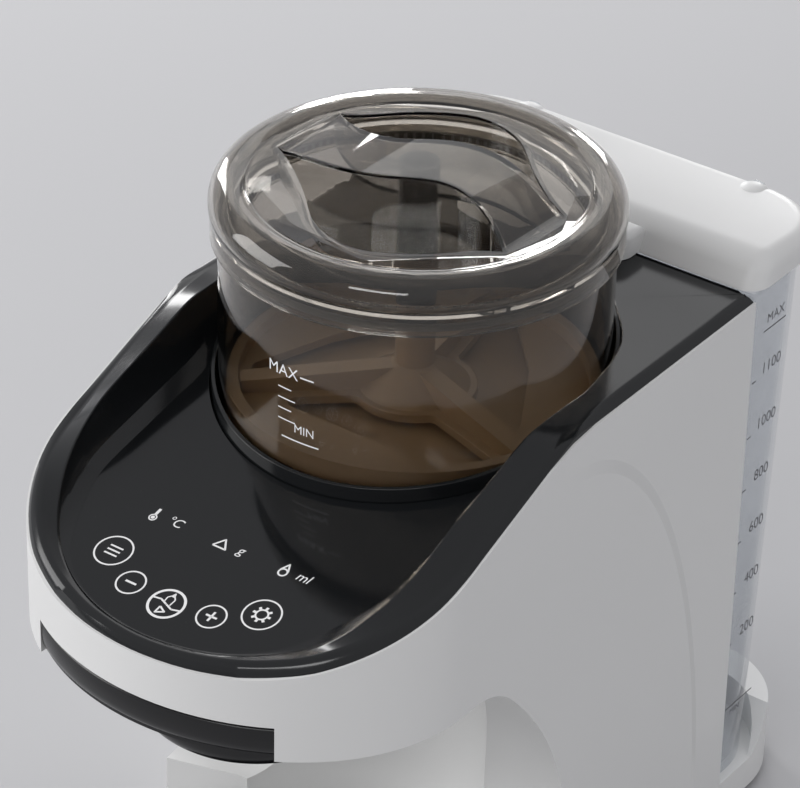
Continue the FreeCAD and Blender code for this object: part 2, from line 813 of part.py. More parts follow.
def make_jar_lid():
    floor_z = lid_disc_z - well_depth
    hollow = lid_form(thin_wall).fuse(handle(thin_wall)).cut(well_with_walls(floor_z))
    lid = lid_form(0.0).fuse(handle(0.0)).cut(well(floor_z + thin_wall)).cut(hollow)
    mouth = cylinder(jar_radius + lid_plug_clearance, below_all, jar_top + gap, 0, jar_axis_y)
    rib_top = lid_disc_z - thin_wall / 2
    rib = ring(lid_rib_radius, lid_rib_radius - thin_wall, lid_rib_bottom, rib_top, 0, jar_axis_y)
    seat_z = jar_top + gap
    seat = ring(lid_skirt_radius - thin_wall / 2, lid_rib_radius - thin_wall / 2, seat_z, seat_z + thin_wall,
                0, jar_axis_y)
    return lid.cut(mouth).fuse([rib, seat])


def make_lid_hub():
    """The dark tube under the handle that ends just over the agitator's post."""
    top = lid_disc_z + handle_rise - thin_wall - gap
    return ring(lid_hub_radius, lid_hub_radius - thin_wall, post_top + 2.0, top, 0, jar_axis_y)


def make_lid_seal():
    outer = jar_radius - thin_wall - gap
    low = lid_rib_bottom + 1.0
    return ring(outer, lid_rib_radius, low, low + seal_height, 0, jar_axis_y)


# ---- powder drive ----------------------------------------------------------------------------------

def gear_outline(teeth, turn):
    """Involute teeth as a closed outline about the origin; turn sets where the first tooth points."""
    pitch = gear_module * teeth / 2
    slant = math.radians(pressure_angle)
    base = pitch * math.cos(slant)
    tip = pitch + gear_addendum * gear_module
    root = pitch - gear_dedendum * gear_module
    half = math.pi / (2 * teeth) - gear_backlash / (2 * pitch) + math.tan(slant) - slant
    start = max(base, root)
    steps = 5
    flank = []
    for index in range(steps):
        radius = start + (tip - start) * index / (steps - 1)
        lean = math.acos(base / radius)
        flank.append((radius, half - (math.tan(lean) - lean)))
    flank = [(root, flank[0][1])] + flank
    points = []
    for tooth in range(teeth):
        middle = turn + 2 * math.pi * tooth / teeth
        for radius, away in flank:
            points.append(V(radius * math.cos(middle - away), radius * math.sin(middle - away), 0))
        for radius, away in reversed(flank):
            points.append(V(radius * math.cos(middle + away), radius * math.sin(middle + away), 0))
    return polygon_wire(points)


def gear(teeth, turn, x, y):
    wheel = upright(gear_outline(teeth, turn), gear_bottom, gear_bottom + gear_thickness)
    wheel.translate(V(x, y, 0))
    return wheel


def make_drive_gear():
    hub = cylinder(gear_hub_radius, gear_bottom - 1.0, collar_floor_bottom - 1.0, 0, jar_axis_y)
    bore = cylinder(shaft_radius, 0, above_all, 0, jar_axis_y)
    return gear(drive_teeth, math.pi / 2, 0, jar_axis_y).fuse(hub).cut(bore)


def make_drive_coupler():
    """The shaft with the keyed driver that enters the powder wheel from below."""
    top = wheel_bottom + coupler_height - gap
    shaft = cylinder(shaft_radius, gearbox_floor_z - 4.0, coupler_bottom + 1.0, 0, jar_axis_y)
    driver = cylinder(coupler_radius, coupler_bottom, top, 0, jar_axis_y)
    half_key = coupler_key_width / 2
    key = box(-coupler_key_reach, coupler_key_reach, jar_axis_y - half_key, jar_axis_y + half_key,
              coupler_bottom, top)
    return fuse([shaft, driver, key])


def make_shaft_bush():
    """The plain bearing that carries the drive shaft in the gearbox floor."""
    sleeve = cylinder(bush_radius, gearbox_floor_z - 4.0, gearbox_floor_z + gearbox_floor, 0, jar_axis_y)
    flange = cylinder(bush_radius + 2.0, gearbox_floor_z - 4.0, gearbox_floor_z, 0, jar_axis_y)
    return sleeve.fuse(flange).cut(cylinder(shaft_radius + running_gap, 0, above_all, 0, jar_axis_y))


def gearbox_form(inset):
    """Plan of the gearbox: one circle round each gear, joined by straight sides."""
    around_drive = drive_pitch_radius + gear_module + 2.0 + gearbox_wall - inset
    around_pinion = motor_radius + 5.0 - inset
    return [
        cylinder(around_drive, below_all, above_all, 0, jar_axis_y),
        cylinder(around_pinion, below_all, above_all, 0, motor_y),
        box(-around_pinion, around_pinion, jar_axis_y, motor_y, below_all, above_all),
    ]


def gearbox_screw_spots():
    reach = drive_pitch_radius + gear_module + 2.0 + gearbox_wall + 3.0
    angles = [math.radians(degrees) for degrees in (-150.0, -30.0, 20.0, 160.0)]
    return [(reach * math.cos(angle), jar_axis_y + reach * math.sin(angle)) for angle in angles]


def make_gearbox_housing():
    """A tub round the two gears that hangs from the collar plate and carries the motor."""
    low = box(-beyond, beyond, -beyond, beyond, gearbox_floor_z, collar_floor_bottom)
    tub = fuse(gearbox_form(0.0)).common(low)
    room = box(-beyond, beyond, -beyond, beyond, gearbox_floor_z + gearbox_floor, collar_floor_bottom + 1)
    tub = tub.cut(fuse(gearbox_form(gearbox_wall)).common(room))
    lugs = []
    holes = []
    for x, y in gearbox_screw_spots():
        lugs.append(cylinder(5.0, collar_floor_bottom - 4.0, collar_floor_bottom, x, y))
        holes.append(cylinder(screw_radius + 0.2, 0, above_all, x, y))
    inside = fuse(gearbox_form(gearbox_wall))
    tub = fuse([tub] + [lug.cut(inside) for lug in lugs])
    holes.append(cylinder(bush_radius, 0, above_all, 0, jar_axis_y))
    holes.append(cylinder(motor_shaft_radius + 3.0, 0, above_all, 0, motor_y))
    return cut(tub, holes)


def make_gearbox_screws():
    screws = []
    for x, y in gearbox_screw_spots():
        head_top = collar_floor_bottom - 4.0
        shank = cylinder(screw_radius, head_top - 0.5, collar_floor_top, x, y)
        screws.append(shank.fuse(cylinder(screw_head_radius, head_top - screw_head_height, head_top, x, y)))
    return Part.makeCompound(screws)


def make_motor_pinion():
    turn = -math.pi / 2 + math.pi / pinion_teeth
    low = gearbox_floor_z - motor_shaft_length
    shaft = cylinder(motor_shaft_radius, low, gear_bottom + gear_thickness + 2.0, 0, motor_y)
    return gear(pinion_teeth, turn, 0, motor_y).fuse(shaft).removeSplitter()


def make_powder_motor():
    can = cylinder(motor_radius, gearbox_floor_z - motor_length, gearbox_floor_z, 0, motor_y)
    cap = cylinder(motor_radius / 2, gearbox_floor_z - motor_length - 3.0, gearbox_floor_z, 0, motor_y)
    bore_end = gearbox_floor_z - motor_shaft_length - 1.0
    bore = cylinder(motor_shaft_radius + running_gap, bore_end, above_all, 0, motor_y)
    return can.fuse(cap).cut(bore).removeSplitter()


# ---- powder chute, funnel drawer and the hot water's way down -----------------------------------------

def flat_circle(radius, x, y, z):
    return Part.Wire([Part.makeCircle(radius, V(x, y, z))])


def make_powder_chute():
    """A leaning tube from the jar's outlet to the funnel, with the arm that holds the nozzle."""
    top_y = jar_axis_y - outlet_reach
    outer = outlet_radius + chute_wall
    lean = (top_y - chute_end_y) / (collar_floor_bottom - chute_end_z)
    over = 2.0
    tube = Part.makeLoft([flat_circle(outer, 0, top_y, collar_floor_bottom),
                          flat_circle(outer, 0, chute_end_y, chute_end_z)], True, True)
    mouth_above = flat_circle(outlet_radius, 0, top_y + lean * over, collar_floor_bottom + over)
    mouth_below = flat_circle(outlet_radius, 0, chute_end_y - lean * over, chute_end_z - over)
    hollow = Part.makeLoft([mouth_above, mouth_below], True, True)
    flange_low = collar_floor_bottom - chute_arm_thickness
    flange = cylinder(outer + chute_flange, flange_low, collar_floor_bottom, 0, top_y)
    flange = flange.cut(cylinder(gear_reach(), 0, above_all, 0, jar_axis_y))
    arm_half = nozzle_radius + chute_flange
    arm_top = chute_end_z + chute_arm_thickness
    arm = box(-arm_half, arm_half, nozzle_y, chute_end_y, chute_end_z, arm_top)
    arm = arm.fuse(cylinder(arm_half, chute_end_z, arm_top, 0, nozzle_y))
    mouth = cylinder(nozzle_radius, 0, above_all, 0, nozzle_y)
    return cut(fuse([tube, flange, arm]), [hollow, mouth])


def gear_reach():
    """Everything of the gearbox round the drive gear lies inside this radius."""
    return drive_pitch_radius + gear_module + 2.0 + gearbox_wall + gap


def make_water_nozzle():
    """Silicone nozzle that hangs in the chute's arm, with a side spigot for the hose."""
    low = chute_end_z - nozzle_drop
    top = low + nozzle_height
    arm_top = chute_end_z + chute_arm_thickness
    body = cylinder(nozzle_radius, low, top, 0, nozzle_y)
    collar = cylinder(nozzle_radius + nozzle_flange, arm_top, arm_top + nozzle_flange, 0, nozzle_y)
    bore = cylinder(nozzle_bore, low - 1, top - chute_arm_thickness, 0, nozzle_y)
    start = V(0, nozzle_y, top - nozzle_radius)
    reach = spigot_length + nozzle_radius
    spigot = Part.makeCylinder(hose_radius, reach, start, V(1, 0, 0))
    passage = Part.makeCylinder(hose_bore, reach + 1, start, V(1, 0, 0))
    return cut(fuse([body, collar, spigot]), [bore, passage])


def hose(points, start, end):
    """A hose of one thickness along a smooth line, with the directions it starts and ends in."""
    line = Part.BSplineCurve()
    line.interpolate(Points=[V(*point) for point in points], InitialTangent=V(*start), FinalTangent=V(*end))
    path = Part.Wire([line.toShape()])
    profile = Part.Wire([Part.makeCircle(hose_radius, V(*points[0]), V(*start))])
    return path.makePipeShell([profile], True, True)


def make_outlet_hose():
    """From the heater's top forward over the gearbox's right side to the nozzle."""
    nozzle_z = chute_end_z - nozzle_drop + nozzle_height - nozzle_radius
    heater_top = heater_bottom + heater_length + spigot_length
    side_x = half_width - hose_side_margin
    points = [
        (heater_x, heater_y, heater_top),
        (heater_x + hose_lead, heater_y - hose_run, chute_end_z - hose_run),
        (side_x, jar_axis_y + hose_lead / 2, chute_end_z + 2 * hose_radius),
        (side_x - hose_lead / 4, chute_end_y + hose_run, chute_end_z + 3 * hose_radius),
        (side_x - 3.125 * hose_lead, nozzle_y + hose_lead, nozzle_z),
        (nozzle_radius + spigot_length, nozzle_y, nozzle_z),
    ]
    return hose(points, (0, 0, 1), (-1, 0, 0))


def make_funnel_drawer():
    """Band across the head's front with the sliding plate that carries the funnel."""
    half = drawer_half
    rail_front_y = nose_centre_y - rail_lead
    rail_top = drawer_top - rail_drop
    band = upright(body_plan(0.0, 0.0), head_bottom, drawer_top)
    band = band.cut(upright(body_plan(wall, beyond), below_all, above_all))
    band = band.common(box(-half, half, -beyond, nose_centre_y, below_all, above_all))
    plate = upright(body_plan(wall / 2, drawer_rear_y), drawer_plate_bottom, drawer_plate_top)
    plate = plate.common(box(-half, half, -beyond, beyond, below_all, above_all))
    rails = []
    for side in (-1, 1):
        x0 = min(side * half, side * (half - thin_wall))
        rail = box(x0, x0 + thin_wall, rail_front_y, drawer_rear_y, drawer_plate_bottom, rail_top)
        rails.append(rail)
    mouth = cylinder(funnel_radius + gap, 0, above_all, 0, funnel_y)
    return fuse([band] + rails + [plate.cut(mouth)])


def funnel_dish(inset):
    """The funnel's bowl as a turned form: steep wall, round corner, falling floor and a short spout."""
    top = drawer_plate_top
    corner = V(funnel_radius - funnel_taper - funnel_corner, 0, funnel_bottom + funnel_corner)
    round_radius = funnel_corner - inset
    slant = round_radius * math.sqrt(0.5)
    edge = V(funnel_radius - inset, 0, top)
    wall_foot = V(corner.x + round_radius, 0, corner.z)
    low = V(corner.x, 0, corner.z - round_radius)
    bore = V(spout_radius - inset, 0, low.z - funnel_fall)
    end = V(bore.x, 0, spout_bottom if inset == 0 else spout_bottom - gap)
    edges = [
        Part.makeLine(V(0, 0, top), edge),
        Part.makeLine(edge, wall_foot),
        Part.Arc(wall_foot, V(corner.x + slant, 0, corner.z - slant), low).toShape(),
        Part.makeLine(low, bore),
        Part.makeLine(bore, end),
        Part.makeLine(end, V(0, 0, end.z)),
        Part.makeLine(V(0, 0, end.z), V(0, 0, top)),
    ]
    turned = Part.Face(Part.Wire(edges)).revolve(V(0, 0, 0), V(0, 0, 1), 360)
    turned.translate(V(0, funnel_y, 0))
    return turned


def make_powder_funnel():
    low = drawer_plate_top
    flange = ring(funnel_flange, funnel_radius - thin_wall, low, low + funnel_flange_height, 0, funnel_y)
    return funnel_dish(0.0).cut(funnel_dish(thin_wall)).fuse(flange).removeSplitter()


# ---- water tank and its lid -----------------------------------------------------------------------------

def tank_form(inset, floor_z):
    front = tank_front_y + inset
    corner = tank_corner - inset
    low = rounded_rear_plan(tank_half_bottom - inset, front, tank_rear_bottom_y - inset, corner)
    high = rounded_rear_plan(tank_half_top - inset, front, tank_rear_top_y - inset, corner)
    low.translate(V(0, 0, floor_z))
    high.translate(V(0, 0, tank_top + (1.0 if inset else 0.0)))
    return Part.makeLoft([low, high], True, True)


def make_water_tank():
    tank = tank_form(0.0, tank_bottom).cut(tank_form(thin_wall, tank_bottom + tank_floor))
    ears = []
    for side in (-1, 1):
        middle = side * hinge_x
        half = hinge_ear_width / 2
        outline = [(tank_rear_top_y - 6.0, tank_top - 1.0), (tank_rear_top_y - 0.2, tank_top - 8.0),
                   (hinge_y + 2.5, hinge_z - 3.0), (hinge_y + 2.5, hinge_z + 3.0), (hinge_y - 3.0, hinge_z + 3.0)]
        ears.append(side_prism(outline, middle - half, middle + half))
    valve_passage = cylinder(valve_hole, 0, tank_bottom + 2 * tank_floor, 0, valve_y)
    return cut(fuse([tank] + ears), [hinge_bore(hinge_pin_radius), valve_passage])


def hinge_bore(radius):
    """A bore along the hinge axis over the whole width."""
    return Part.makeCylinder(radius, 2 * half_width, V(-half_width, hinge_y, hinge_z), V(1, 0, 0))


def make_hinge_pins():
    length = hinge_knuckle_width - 2.0
    pins = []
    for side in (-1, 1):
        start = V(side * hinge_x - length / 2, hinge_y, hinge_z)
        pins.append(Part.makeCylinder(hinge_pin_radius, length, start, V(1, 0, 0)))
    return Part.makeCompound(pins)


def tank_lid_block(inset):
    """The lid's outer form: straight front, rounded rear corners, top that falls to the rear."""
    plan = rounded_rear_plan(half_width - inset, tank_front_y + inset, tank_lid_rear_y - inset,
                             tank_lid_corner - inset)
    front_y = tank_front_y - 1.0
    rear_end_y = tank_lid_rear_y + 1.0
    front = (front_y, tank_lid_top(front_y) - inset)
    rear = (rear_end_y, tank_lid_top(rear_end_y) - inset)
    under = side_prism([(front_y, below_all), front, rear, (rear_end_y, below_all)], -beyond, beyond)
    block = upright(plan, tank_lid_bottom - (1.0 if inset else 0.0), above_all).common(under)
    top_edges = [edge for edge in block.Edges if edge.BoundBox.ZMin > tank_lid_bottom + 1.0]
    return block.makeFillet(tank_lid_round - inset, top_edges)


def tank_lid_top(y):
    """Height of the lid's top before its edges are rounded."""
    fall = tank_lid_slope * (y - tank_front_y) / (tank_lid_rear_y - tank_front_y)
    return tank_lid_bottom + tank_lid_height - fall


def make_tank_lid():
    """The hinged lid with the tab that lies over the deck and the knuckles beside the tank's ears."""
    lid = tank_lid_block(0.0).cut(tank_lid_block(thin_wall))
    top = tank_lid_bottom + tank_lid_height - tab_top_drop
    low = deck_height + gap
    back = tank_front_y + thin_wall
    tab = rounded_rear_plan(tab_half, -back, -tab_front_y, tab_corner)
    tab.rotate(V(0, 0, 0), V(0, 0, 1), 180)
    tab = upright(tab, low, top)
    hollow = box(thin_wall - tab_half, tab_half - thin_wall, tab_front_y + tab_corner, back + gap,
                 low - thin_wall, top - thin_wall)
    parts = [lid, tab.cut(hollow)]
    half = hinge_knuckle_width / 2
    slot_half = hinge_ear_width / 2 + gap
    slots = []
    for side in (-1, 1):
        middle = side * hinge_x
        knuckle = Part.makeCylinder(hinge_knuckle_radius, 2 * half, V(middle - half, hinge_y, hinge_z), V(1, 0, 0))
        parts.append(knuckle)
        slots.append(box(middle - slot_half, middle + slot_half, tank_rear_top_y - hinge_slot_reach, beyond,
                         tank_lid_bottom - thin_wall, hinge_z + hinge_knuckle_radius))
    bore = hinge_bore(hinge_pin_radius + running_gap)
    under = box(-beyond, beyond, tank_front_y, beyond, below_all, tank_lid_bottom)
    return cut(fuse(parts), slots + [bore, under])


def make_valve_body():
    """The threaded cage in the tank's floor that guides the plunger."""
    tube = ring(valve_hole, valve_bore, valve_bottom, valve_top, 0, valve_y)
    seat = ring(valve_bore + 0.5, valve_stem_radius + 1.8, valve_bottom, valve_bottom + valve_seat, 0, valve_y)
    cap = ring(valve_bore + 0.5, valve_stem_radius + running_gap, valve_top - 2.0, valve_top, 0, valve_y)
    low = tank_bottom + tank_floor
    flange = ring(valve_flange, valve_hole - 0.5, low, low + 2.5, 0, valve_y)
    window = box(-beyond, beyond, valve_y - 2.5, valve_y + 2.5, low + 4.0, valve_top - 3.0)
    across = box(-2.5, 2.5, -beyond, beyond, low + 4.0, valve_top - 3.0)
    inner = cylinder(valve_bore, low + 2.5, valve_top - 2.0, 0, valve_y)
    windows = fuse([window, across]).cut(inner)
    return fuse([tube, seat, cap, flange]).cut(windows)


def plunger_rest_z():
    return valve_bottom + valve_seat + valve_seal_height + gap


def plunger_tip_z():
    return valve_bottom + valve_seat - gap


def make_valve_plunger():
    low = plunger_rest_z()
    head = cylinder(valve_head_radius, low, low + valve_head_height, 0, valve_y)
    stem = cylinder(valve_stem_radius, plunger_tip_z(), valve_top + 1.0, 0, valve_y)
    return head.fuse(stem).removeSplitter()


def make_valve_seal():
    low = valve_bottom + valve_seat
    return ring(valve_bore, valve_stem_radius + 2.0, low, low + valve_seal_height, 0, valve_y)


def make_valve_spring():
    low = plunger_rest_z() + valve_head_height + spring_wire
    high = valve_top - 2.0 - spring_wire
    coil = Part.makeHelix((high - low) / spring_turns, high - low, spring_radius)
    profile = Part.Wire([Part.makeCircle(spring_wire, V(spring_radius, 0, 0), V(0, 1, 0))])
    spring = Part.Wire(coil).makePipeShell([profile], True, True)
    spring.translate(V(0, valve_y, low))
    return spring


# ---- base, dock and drip tray ------------------------------------------------------------------------------

def dock_plan(inset):
    return rounded_rear_plan(half_width - inset, tank_front_y + inset, rear_y - inset, dock_corner - inset)


def base_forms(inset):
    """The base from above, as solids moved inwards by inset: platform, plinth under the column, dock."""
    top = -inset
    nose_centre = platform_front_y + platform_nose
    platform = upright(rounded_front_plan(platform_half - inset, platform_nose - inset, nose_centre, column_rear_y),
                       base_bottom - inset, platform_top + top)
    platform = platform.common(bay_space(-gap - inset))
    plinth = upright(rounded_front_plan(platform_half - inset, platform_nose - inset, nose_centre, column_rear_y + 20.0),
                     base_bottom - inset, housing_bottom + top)
    low_front = bay_start_y + bay_curve_radius - bay_toe_radius - (bay_curve_radius - bay_corner_radius) * math.sqrt(0.5)
    sides = box(base_inset + inset - half_width, half_width - base_inset - inset, low_front + base_inset + inset,
                column_rear_y + 20.0, base_bottom - inset, housing_bottom + top)
    dock = upright(dock_plan(inset), base_bottom - inset, dock_top + top)
    return [platform, plinth, sides, dock]


def base_boss_spots():
    side = half_width - boss_side_margin
    rows = [(side, 0.0), (platform_half - 15.0, platform_front_y + 62.0), (side - 5.0, valve_y - 15.0)]
    return [(sign * x, y) for x, y in rows for sign in (-1, 1)]


def inlet_block():
    half = inlet_width / 2
    low = base_bottom + 0.4
    return box(inlet_x - half, inlet_x + half, rear_y - inlet_depth, rear_y, low, low + inlet_height)


def make_base():
    outer = fuse(base_forms(0.0))
    inner = fuse(base_forms(wall))
    lip = upright(dock_plan(0.0), dock_top - 1.0, dock_lip_top)
    room = rounded_rear_plan(tank_half_top, tank_front_y - 1.0, tank_rear_bottom_y + 4.0, tank_corner)
    lip = lip.cut(upright(room, below_all, above_all))
    slant = [(tank_front_y - 1, dock_top), (dock_lip_front_y, dock_top), (rear_y - 25.0, dock_lip_top + 1),
             (tank_front_y - 1, dock_lip_top + 1)]
    lip = lip.cut(side_prism(slant, -beyond, beyond))
    parts = [outer.cut(inner), lip]
    holes = []
    for x, y in base_boss_spots():
        top = dock_top - 1.0 if y > column_rear_y else housing_bottom - 1.0
        parts.append(cylinder(4.0, base_bottom, top, x, y))
        holes.append(cylinder(screw_radius, 0, top - 2.0, x, y))
    holes.append(cylinder(dock_cup_radius + 0.2, dock_top - 2 * wall, above_all, 0, valve_y))
    holes.append(Part.makeCylinder(hose_radius + 0.6, 3 * wall, V(0, column_rear_y + 2 * wall, dock_barb_z), V(0, -1, 0)))
    holes.append(inlet_block())
    return cut(fuse(parts), holes)


def make_base_plate():
    nose_centre = platform_front_y + platform_nose
    front = upright(rounded_front_plan(platform_half - 1.0, platform_nose - 1.0, nose_centre, rear_y - dock_corner),
                    base_plate_bottom, base_bottom)
    middle = box(base_inset + 1.0 - half_width, half_width - base_inset - 1.0, -33.0, rear_y - dock_corner,
                 base_plate_bottom, base_bottom)
    rear = upright(dock_plan(4.0), base_plate_bottom, base_bottom)
    holes = []
    for x, y in base_boss_spots():
        holes.append(cylinder(screw_radius + 0.2, 0, above_all, x, y))
        holes.append(cylinder(screw_head_radius + 0.2, 0, base_plate_bottom + screw_head_height, x, y))
    return cut(fuse([front, middle, rear]), holes)


def make_base_screws():
    screws = []
    for x, y in base_boss_spots():
        head = cylinder(screw_head_radius, base_plate_bottom, base_plate_bottom + screw_head_height, x, y)
        screws.append(head.fuse(cylinder(screw_radius, base_plate_bottom, housing_bottom - 4.0, x, y)).removeSplitter())
    return Part.makeCompound(screws)


def foot_spots():
    side = half_width - boss_side_margin
    rows = [(platform_half - 27.0, platform_front_y + 47.0), (side, -18.0), (side - 7.0, rear_y - 35.0)]
    return [(sign * x, y) for x, y in rows for sign in (-1, 1)]


def make_feet():
    return Part.makeCompound([cylinder(foot_radius, 0, base_plate_bottom, x, y) for x, y in foot_spots()])


def make_tank_dock():
    """The cup under the tank's valve, with the pin that lifts the plunger and the pump's pipe."""
    skin = dock_top - wall
    cup = cylinder(dock_cup_radius, dock_cup_bottom, dock_top - 0.2, 0, valve_y)
    flange = cylinder(dock_cup_flange, skin - 2.5, skin, 0, valve_y)
    spigot_end = valve_y - dock_cup_radius - spigot_length
    spigot = Part.makeCylinder(hose_radius, valve_y - spigot_end, V(0, spigot_end, dock_barb_z), V(0, 1, 0))
    bore = cylinder(dock_cup_bore, dock_cup_bottom + 3.0, above_all, 0, valve_y)
    passage = Part.makeCylinder(hose_radius - 1.0, valve_y - spigot_end + 1, V(0, spigot_end - 1, dock_barb_z), V(0, 1, 0))
    pin = cylinder(dock_pin_radius, dock_cup_bottom + 2.0, plunger_tip_z() - gap, 0, valve_y)
    return cut(fuse([cup, flange, spigot]), [bore, passage]).fuse(pin)


def make_mains_inlet():
    """Figure-eight mains socket in the base's rear wall."""
    block = inlet_block()
    middle = base_bottom + 0.4 + inlet_height / 2
    lobe = 5.2
    spread = 3.9
    parts = []
    pins = []
    for side in (-1, 1):
        start = V(inlet_x + side * spread, rear_y + 1.0, middle)
        parts.append(Part.makeCylinder(lobe, 11.0, start, V(0, -1, 0)))
        pins.append(Part.makeCylinder(1.2, 9.0, V(start.x, rear_y - 11.0, middle), V(0, 1, 0)))
    return fuse([block.cut(fuse(parts))] + pins)


def tray_plan(inset):
    nose_centre = tray_front_y + tray_nose
    return rounded_front_plan(tray_half - inset, tray_nose - inset, nose_centre, tray_rear_y - inset)


def make_drip_tray():
    tray = upright(tray_plan(0.0), tray_bottom, tray_top)
    tray = tray.cut(upright(tray_plan(thin_wall), tray_bottom + thin_wall, above_all))
    ledge = upright(tray_plan(0.5), tray_top - grid_thickness - 2.5, tray_top - grid_thickness - gap)
    ledge = ledge.cut(upright(tray_plan(thin_wall + 2.0), below_all, above_all))
    return fuse([tray, ledge])


def make_drip_grid():
    grid = upright(tray_plan(thin_wall + gap), tray_top - grid_thickness, tray_top)
    count = int((tray_half - 12.0) / grid_slot_pitch)
    slots = []
    for index in range(-count, count + 1):
        x = index * grid_slot_pitch
        reach = math.sqrt(1.0 - (x / (tray_half - 4.0)) ** 2) * (tray_nose - 10.0)
        y0 = tray_front_y + tray_nose - reach
        slots.append(box(x - grid_slot_width / 2, x + grid_slot_width / 2, y0, tray_rear_y - 14.0, 0, above_all))
    return cut(grid, slots)


# ---- heater, pump, boards ----------------------------------------------------------------------------------

def make_heater():
    top = heater_bottom + heater_length
    body = cylinder(heater_radius, heater_bottom, top, heater_x, heater_y)
    low_pipe = cylinder(hose_radius, heater_bottom - spigot_length, heater_bottom + 1, heater_x, heater_y)
    top_pipe = cylinder(hose_radius, top - 1, top + spigot_length, heater_x, heater_y)
    probe_hole = cylinder(probe_radius, top - 20.0, top + 1.0, heater_x - 12.0, heater_y)
    return fuse([body, low_pipe, top_pipe]).cut(probe_hole)


def make_temperature_probe():
    top = heater_bottom + heater_length
    rod = cylinder(probe_radius, top - 20.0, top + 10.0, heater_x - 12.0, heater_y)
    cap = cylinder(3 * probe_radius, top, top + 4.0, heater_x - 12.0, heater_y)
    return rod.fuse(cap)


def strap(x, y, radius, z0):
    """A ring round a cylinder with two arms back to a foot on the rear panel."""
    face_y = column_rear_y - wall
    hoop = ring(radius + strap_wall, radius, z0, z0 + strap_height, x, y)
    foot = box(x - 10.0, x + 10.0, face_y - strap_wall, face_y, z0, z0 + strap_height)
    arms = []
    for side in (-1, 1):
        middle = x + side * 8.0
        arm = box(middle - strap_wall / 2, middle + strap_wall / 2, y + radius * 0.7, face_y - 1.0, z0, z0 + strap_height)
        arms.append(arm)
    return fuse([hoop, foot] + arms).cut(cylinder(radius, below_all, above_all, x, y))


def make_heater_bracket():
    return strap(heater_x, heater_y, heater_radius, heater_bottom + heater_length / 2)


def make_pump_bracket():
    return strap(pump_x, pump_y, pump_radius, pump_bottom + pump_length / 2)


def make_water_pump():
    top = pump_bottom + pump_length
    body = cylinder(pump_radius, pump_bottom, top, pump_x, pump_y)
    low_pipe = cylinder(hose_radius, pump_bottom - spigot_length, pump_bottom + 1, pump_x, pump_y)
    top_pipe = cylinder(hose_radius, top - 1, top + spigot_length, pump_x, pump_y)
    return fuse([body, low_pipe, top_pipe])


def make_feed_hose():
    points = [
        (pump_x, pump_y, pump_bottom + pump_length + spigot_length),
        (pump_x + 22.0, pump_y + 2.0, pump_bottom + pump_length + 18.0),
        (0.0, pump_y + 2.0, 75.0),
        (heater_x - 22.0, heater_y, heater_bottom - 24.0),
        (heater_x, heater_y, heater_bottom - spigot_length),
    ]
    return hose(points, (0, 0, 1), (0, 0, 1))


def make_suction_hose():
    start_y = valve_y - dock_cup_radius - spigot_length
    points = [
        (0.0, start_y, dock_barb_z),
        (0.0, column_rear_y - 6.0, dock_barb_z),
        (-22.0, 82.0, 17.0),
        (-43.0, 64.0, 20.0),
        (pump_x, pump_y, pump_bottom - spigot_length),
    ]
    return hose(points, (0, -1, 0), (0, 0, 1))


def board_on_panel(x0, x1, z0, z1, blocks):
    """A circuit board on four standoffs on the rear panel, with its larger parts."""
    face_y = column_rear_y - wall
    back = face_y - standoff_length
    front = back - board_thickness
    parts = [box(x0, x1, front, back, z0, z1)]
    for x in (x0 + 5.0, x1 - 5.0):
        for z in (z0 + 5.0, z1 - 5.0):
            parts.append(Part.makeCylinder(standoff_radius, standoff_length, V(x, back, z), V(0, 1, 0)))
    for bx, bz, width, height, depth in blocks:
        parts.append(box(bx, bx + width, front - depth, front, bz, bz + height))
    return fuse(parts)


def make_main_board():
    x1 = -main_board_inner
    x0 = board_side_margin - half_width
    z0 = main_board_bottom
    z1 = z0 + main_board_height
    third = (x1 - x0) / 3
    blocks = [
        (x0 + third, z0 + 32.0, 14.0, 14.0, 2.0),
        (x0 + 2 * third, z0 + 12.0, 12.0, 20.0, 8.0),
        (x0 + 12.0, z1 - 20.0, third, 7.0, 9.0),
    ]
    return board_on_panel(x0, x1, z0, z1, blocks)


def make_power_supply():
    x0 = power_board_inner
    x1 = half_width - board_side_margin
    z0 = power_board_bottom
    z1 = z0 + power_board_height
    third = (x1 - x0) / 3
    blocks = [
        (x0 + 12.0, z0 + 12.0, third - 4.0, 24.0, 18.0),
        (x0 + 2 * third - 6.0, z0 + 12.0, 14.0, 26.0, 14.0),
        (x0 + third / 2, z1 - 16.0, third + 12.0, 8.0, 10.0),
    ]
    return board_on_panel(x0, x1, z0, z1, blocks)


def make_display_board():
    """The lamp and touch-key board under the sloping panel."""
    skin = panel_thickness + deck_skin
    top = -skin - 3.0
    plan = rounded_front_plan(60.0, 46.0, -118.0, -116.0)
    slab = upright(plan, below_all, above_all).common(above_panel(top - board_thickness, half_width))
    slab = slab.common(below_panel(top, half_width))
    posts = []
    for x, y in ((-50.0, -121.0), (50.0, -121.0), (-20.0, -158.0), (20.0, -158.0)):
        post = cylinder(standoff_radius, below_all, above_all, x, y).common(above_panel(top - 0.5, half_width))
        posts.append(post.common(below_panel(-skin, half_width)))
    return fuse([slab] + posts)


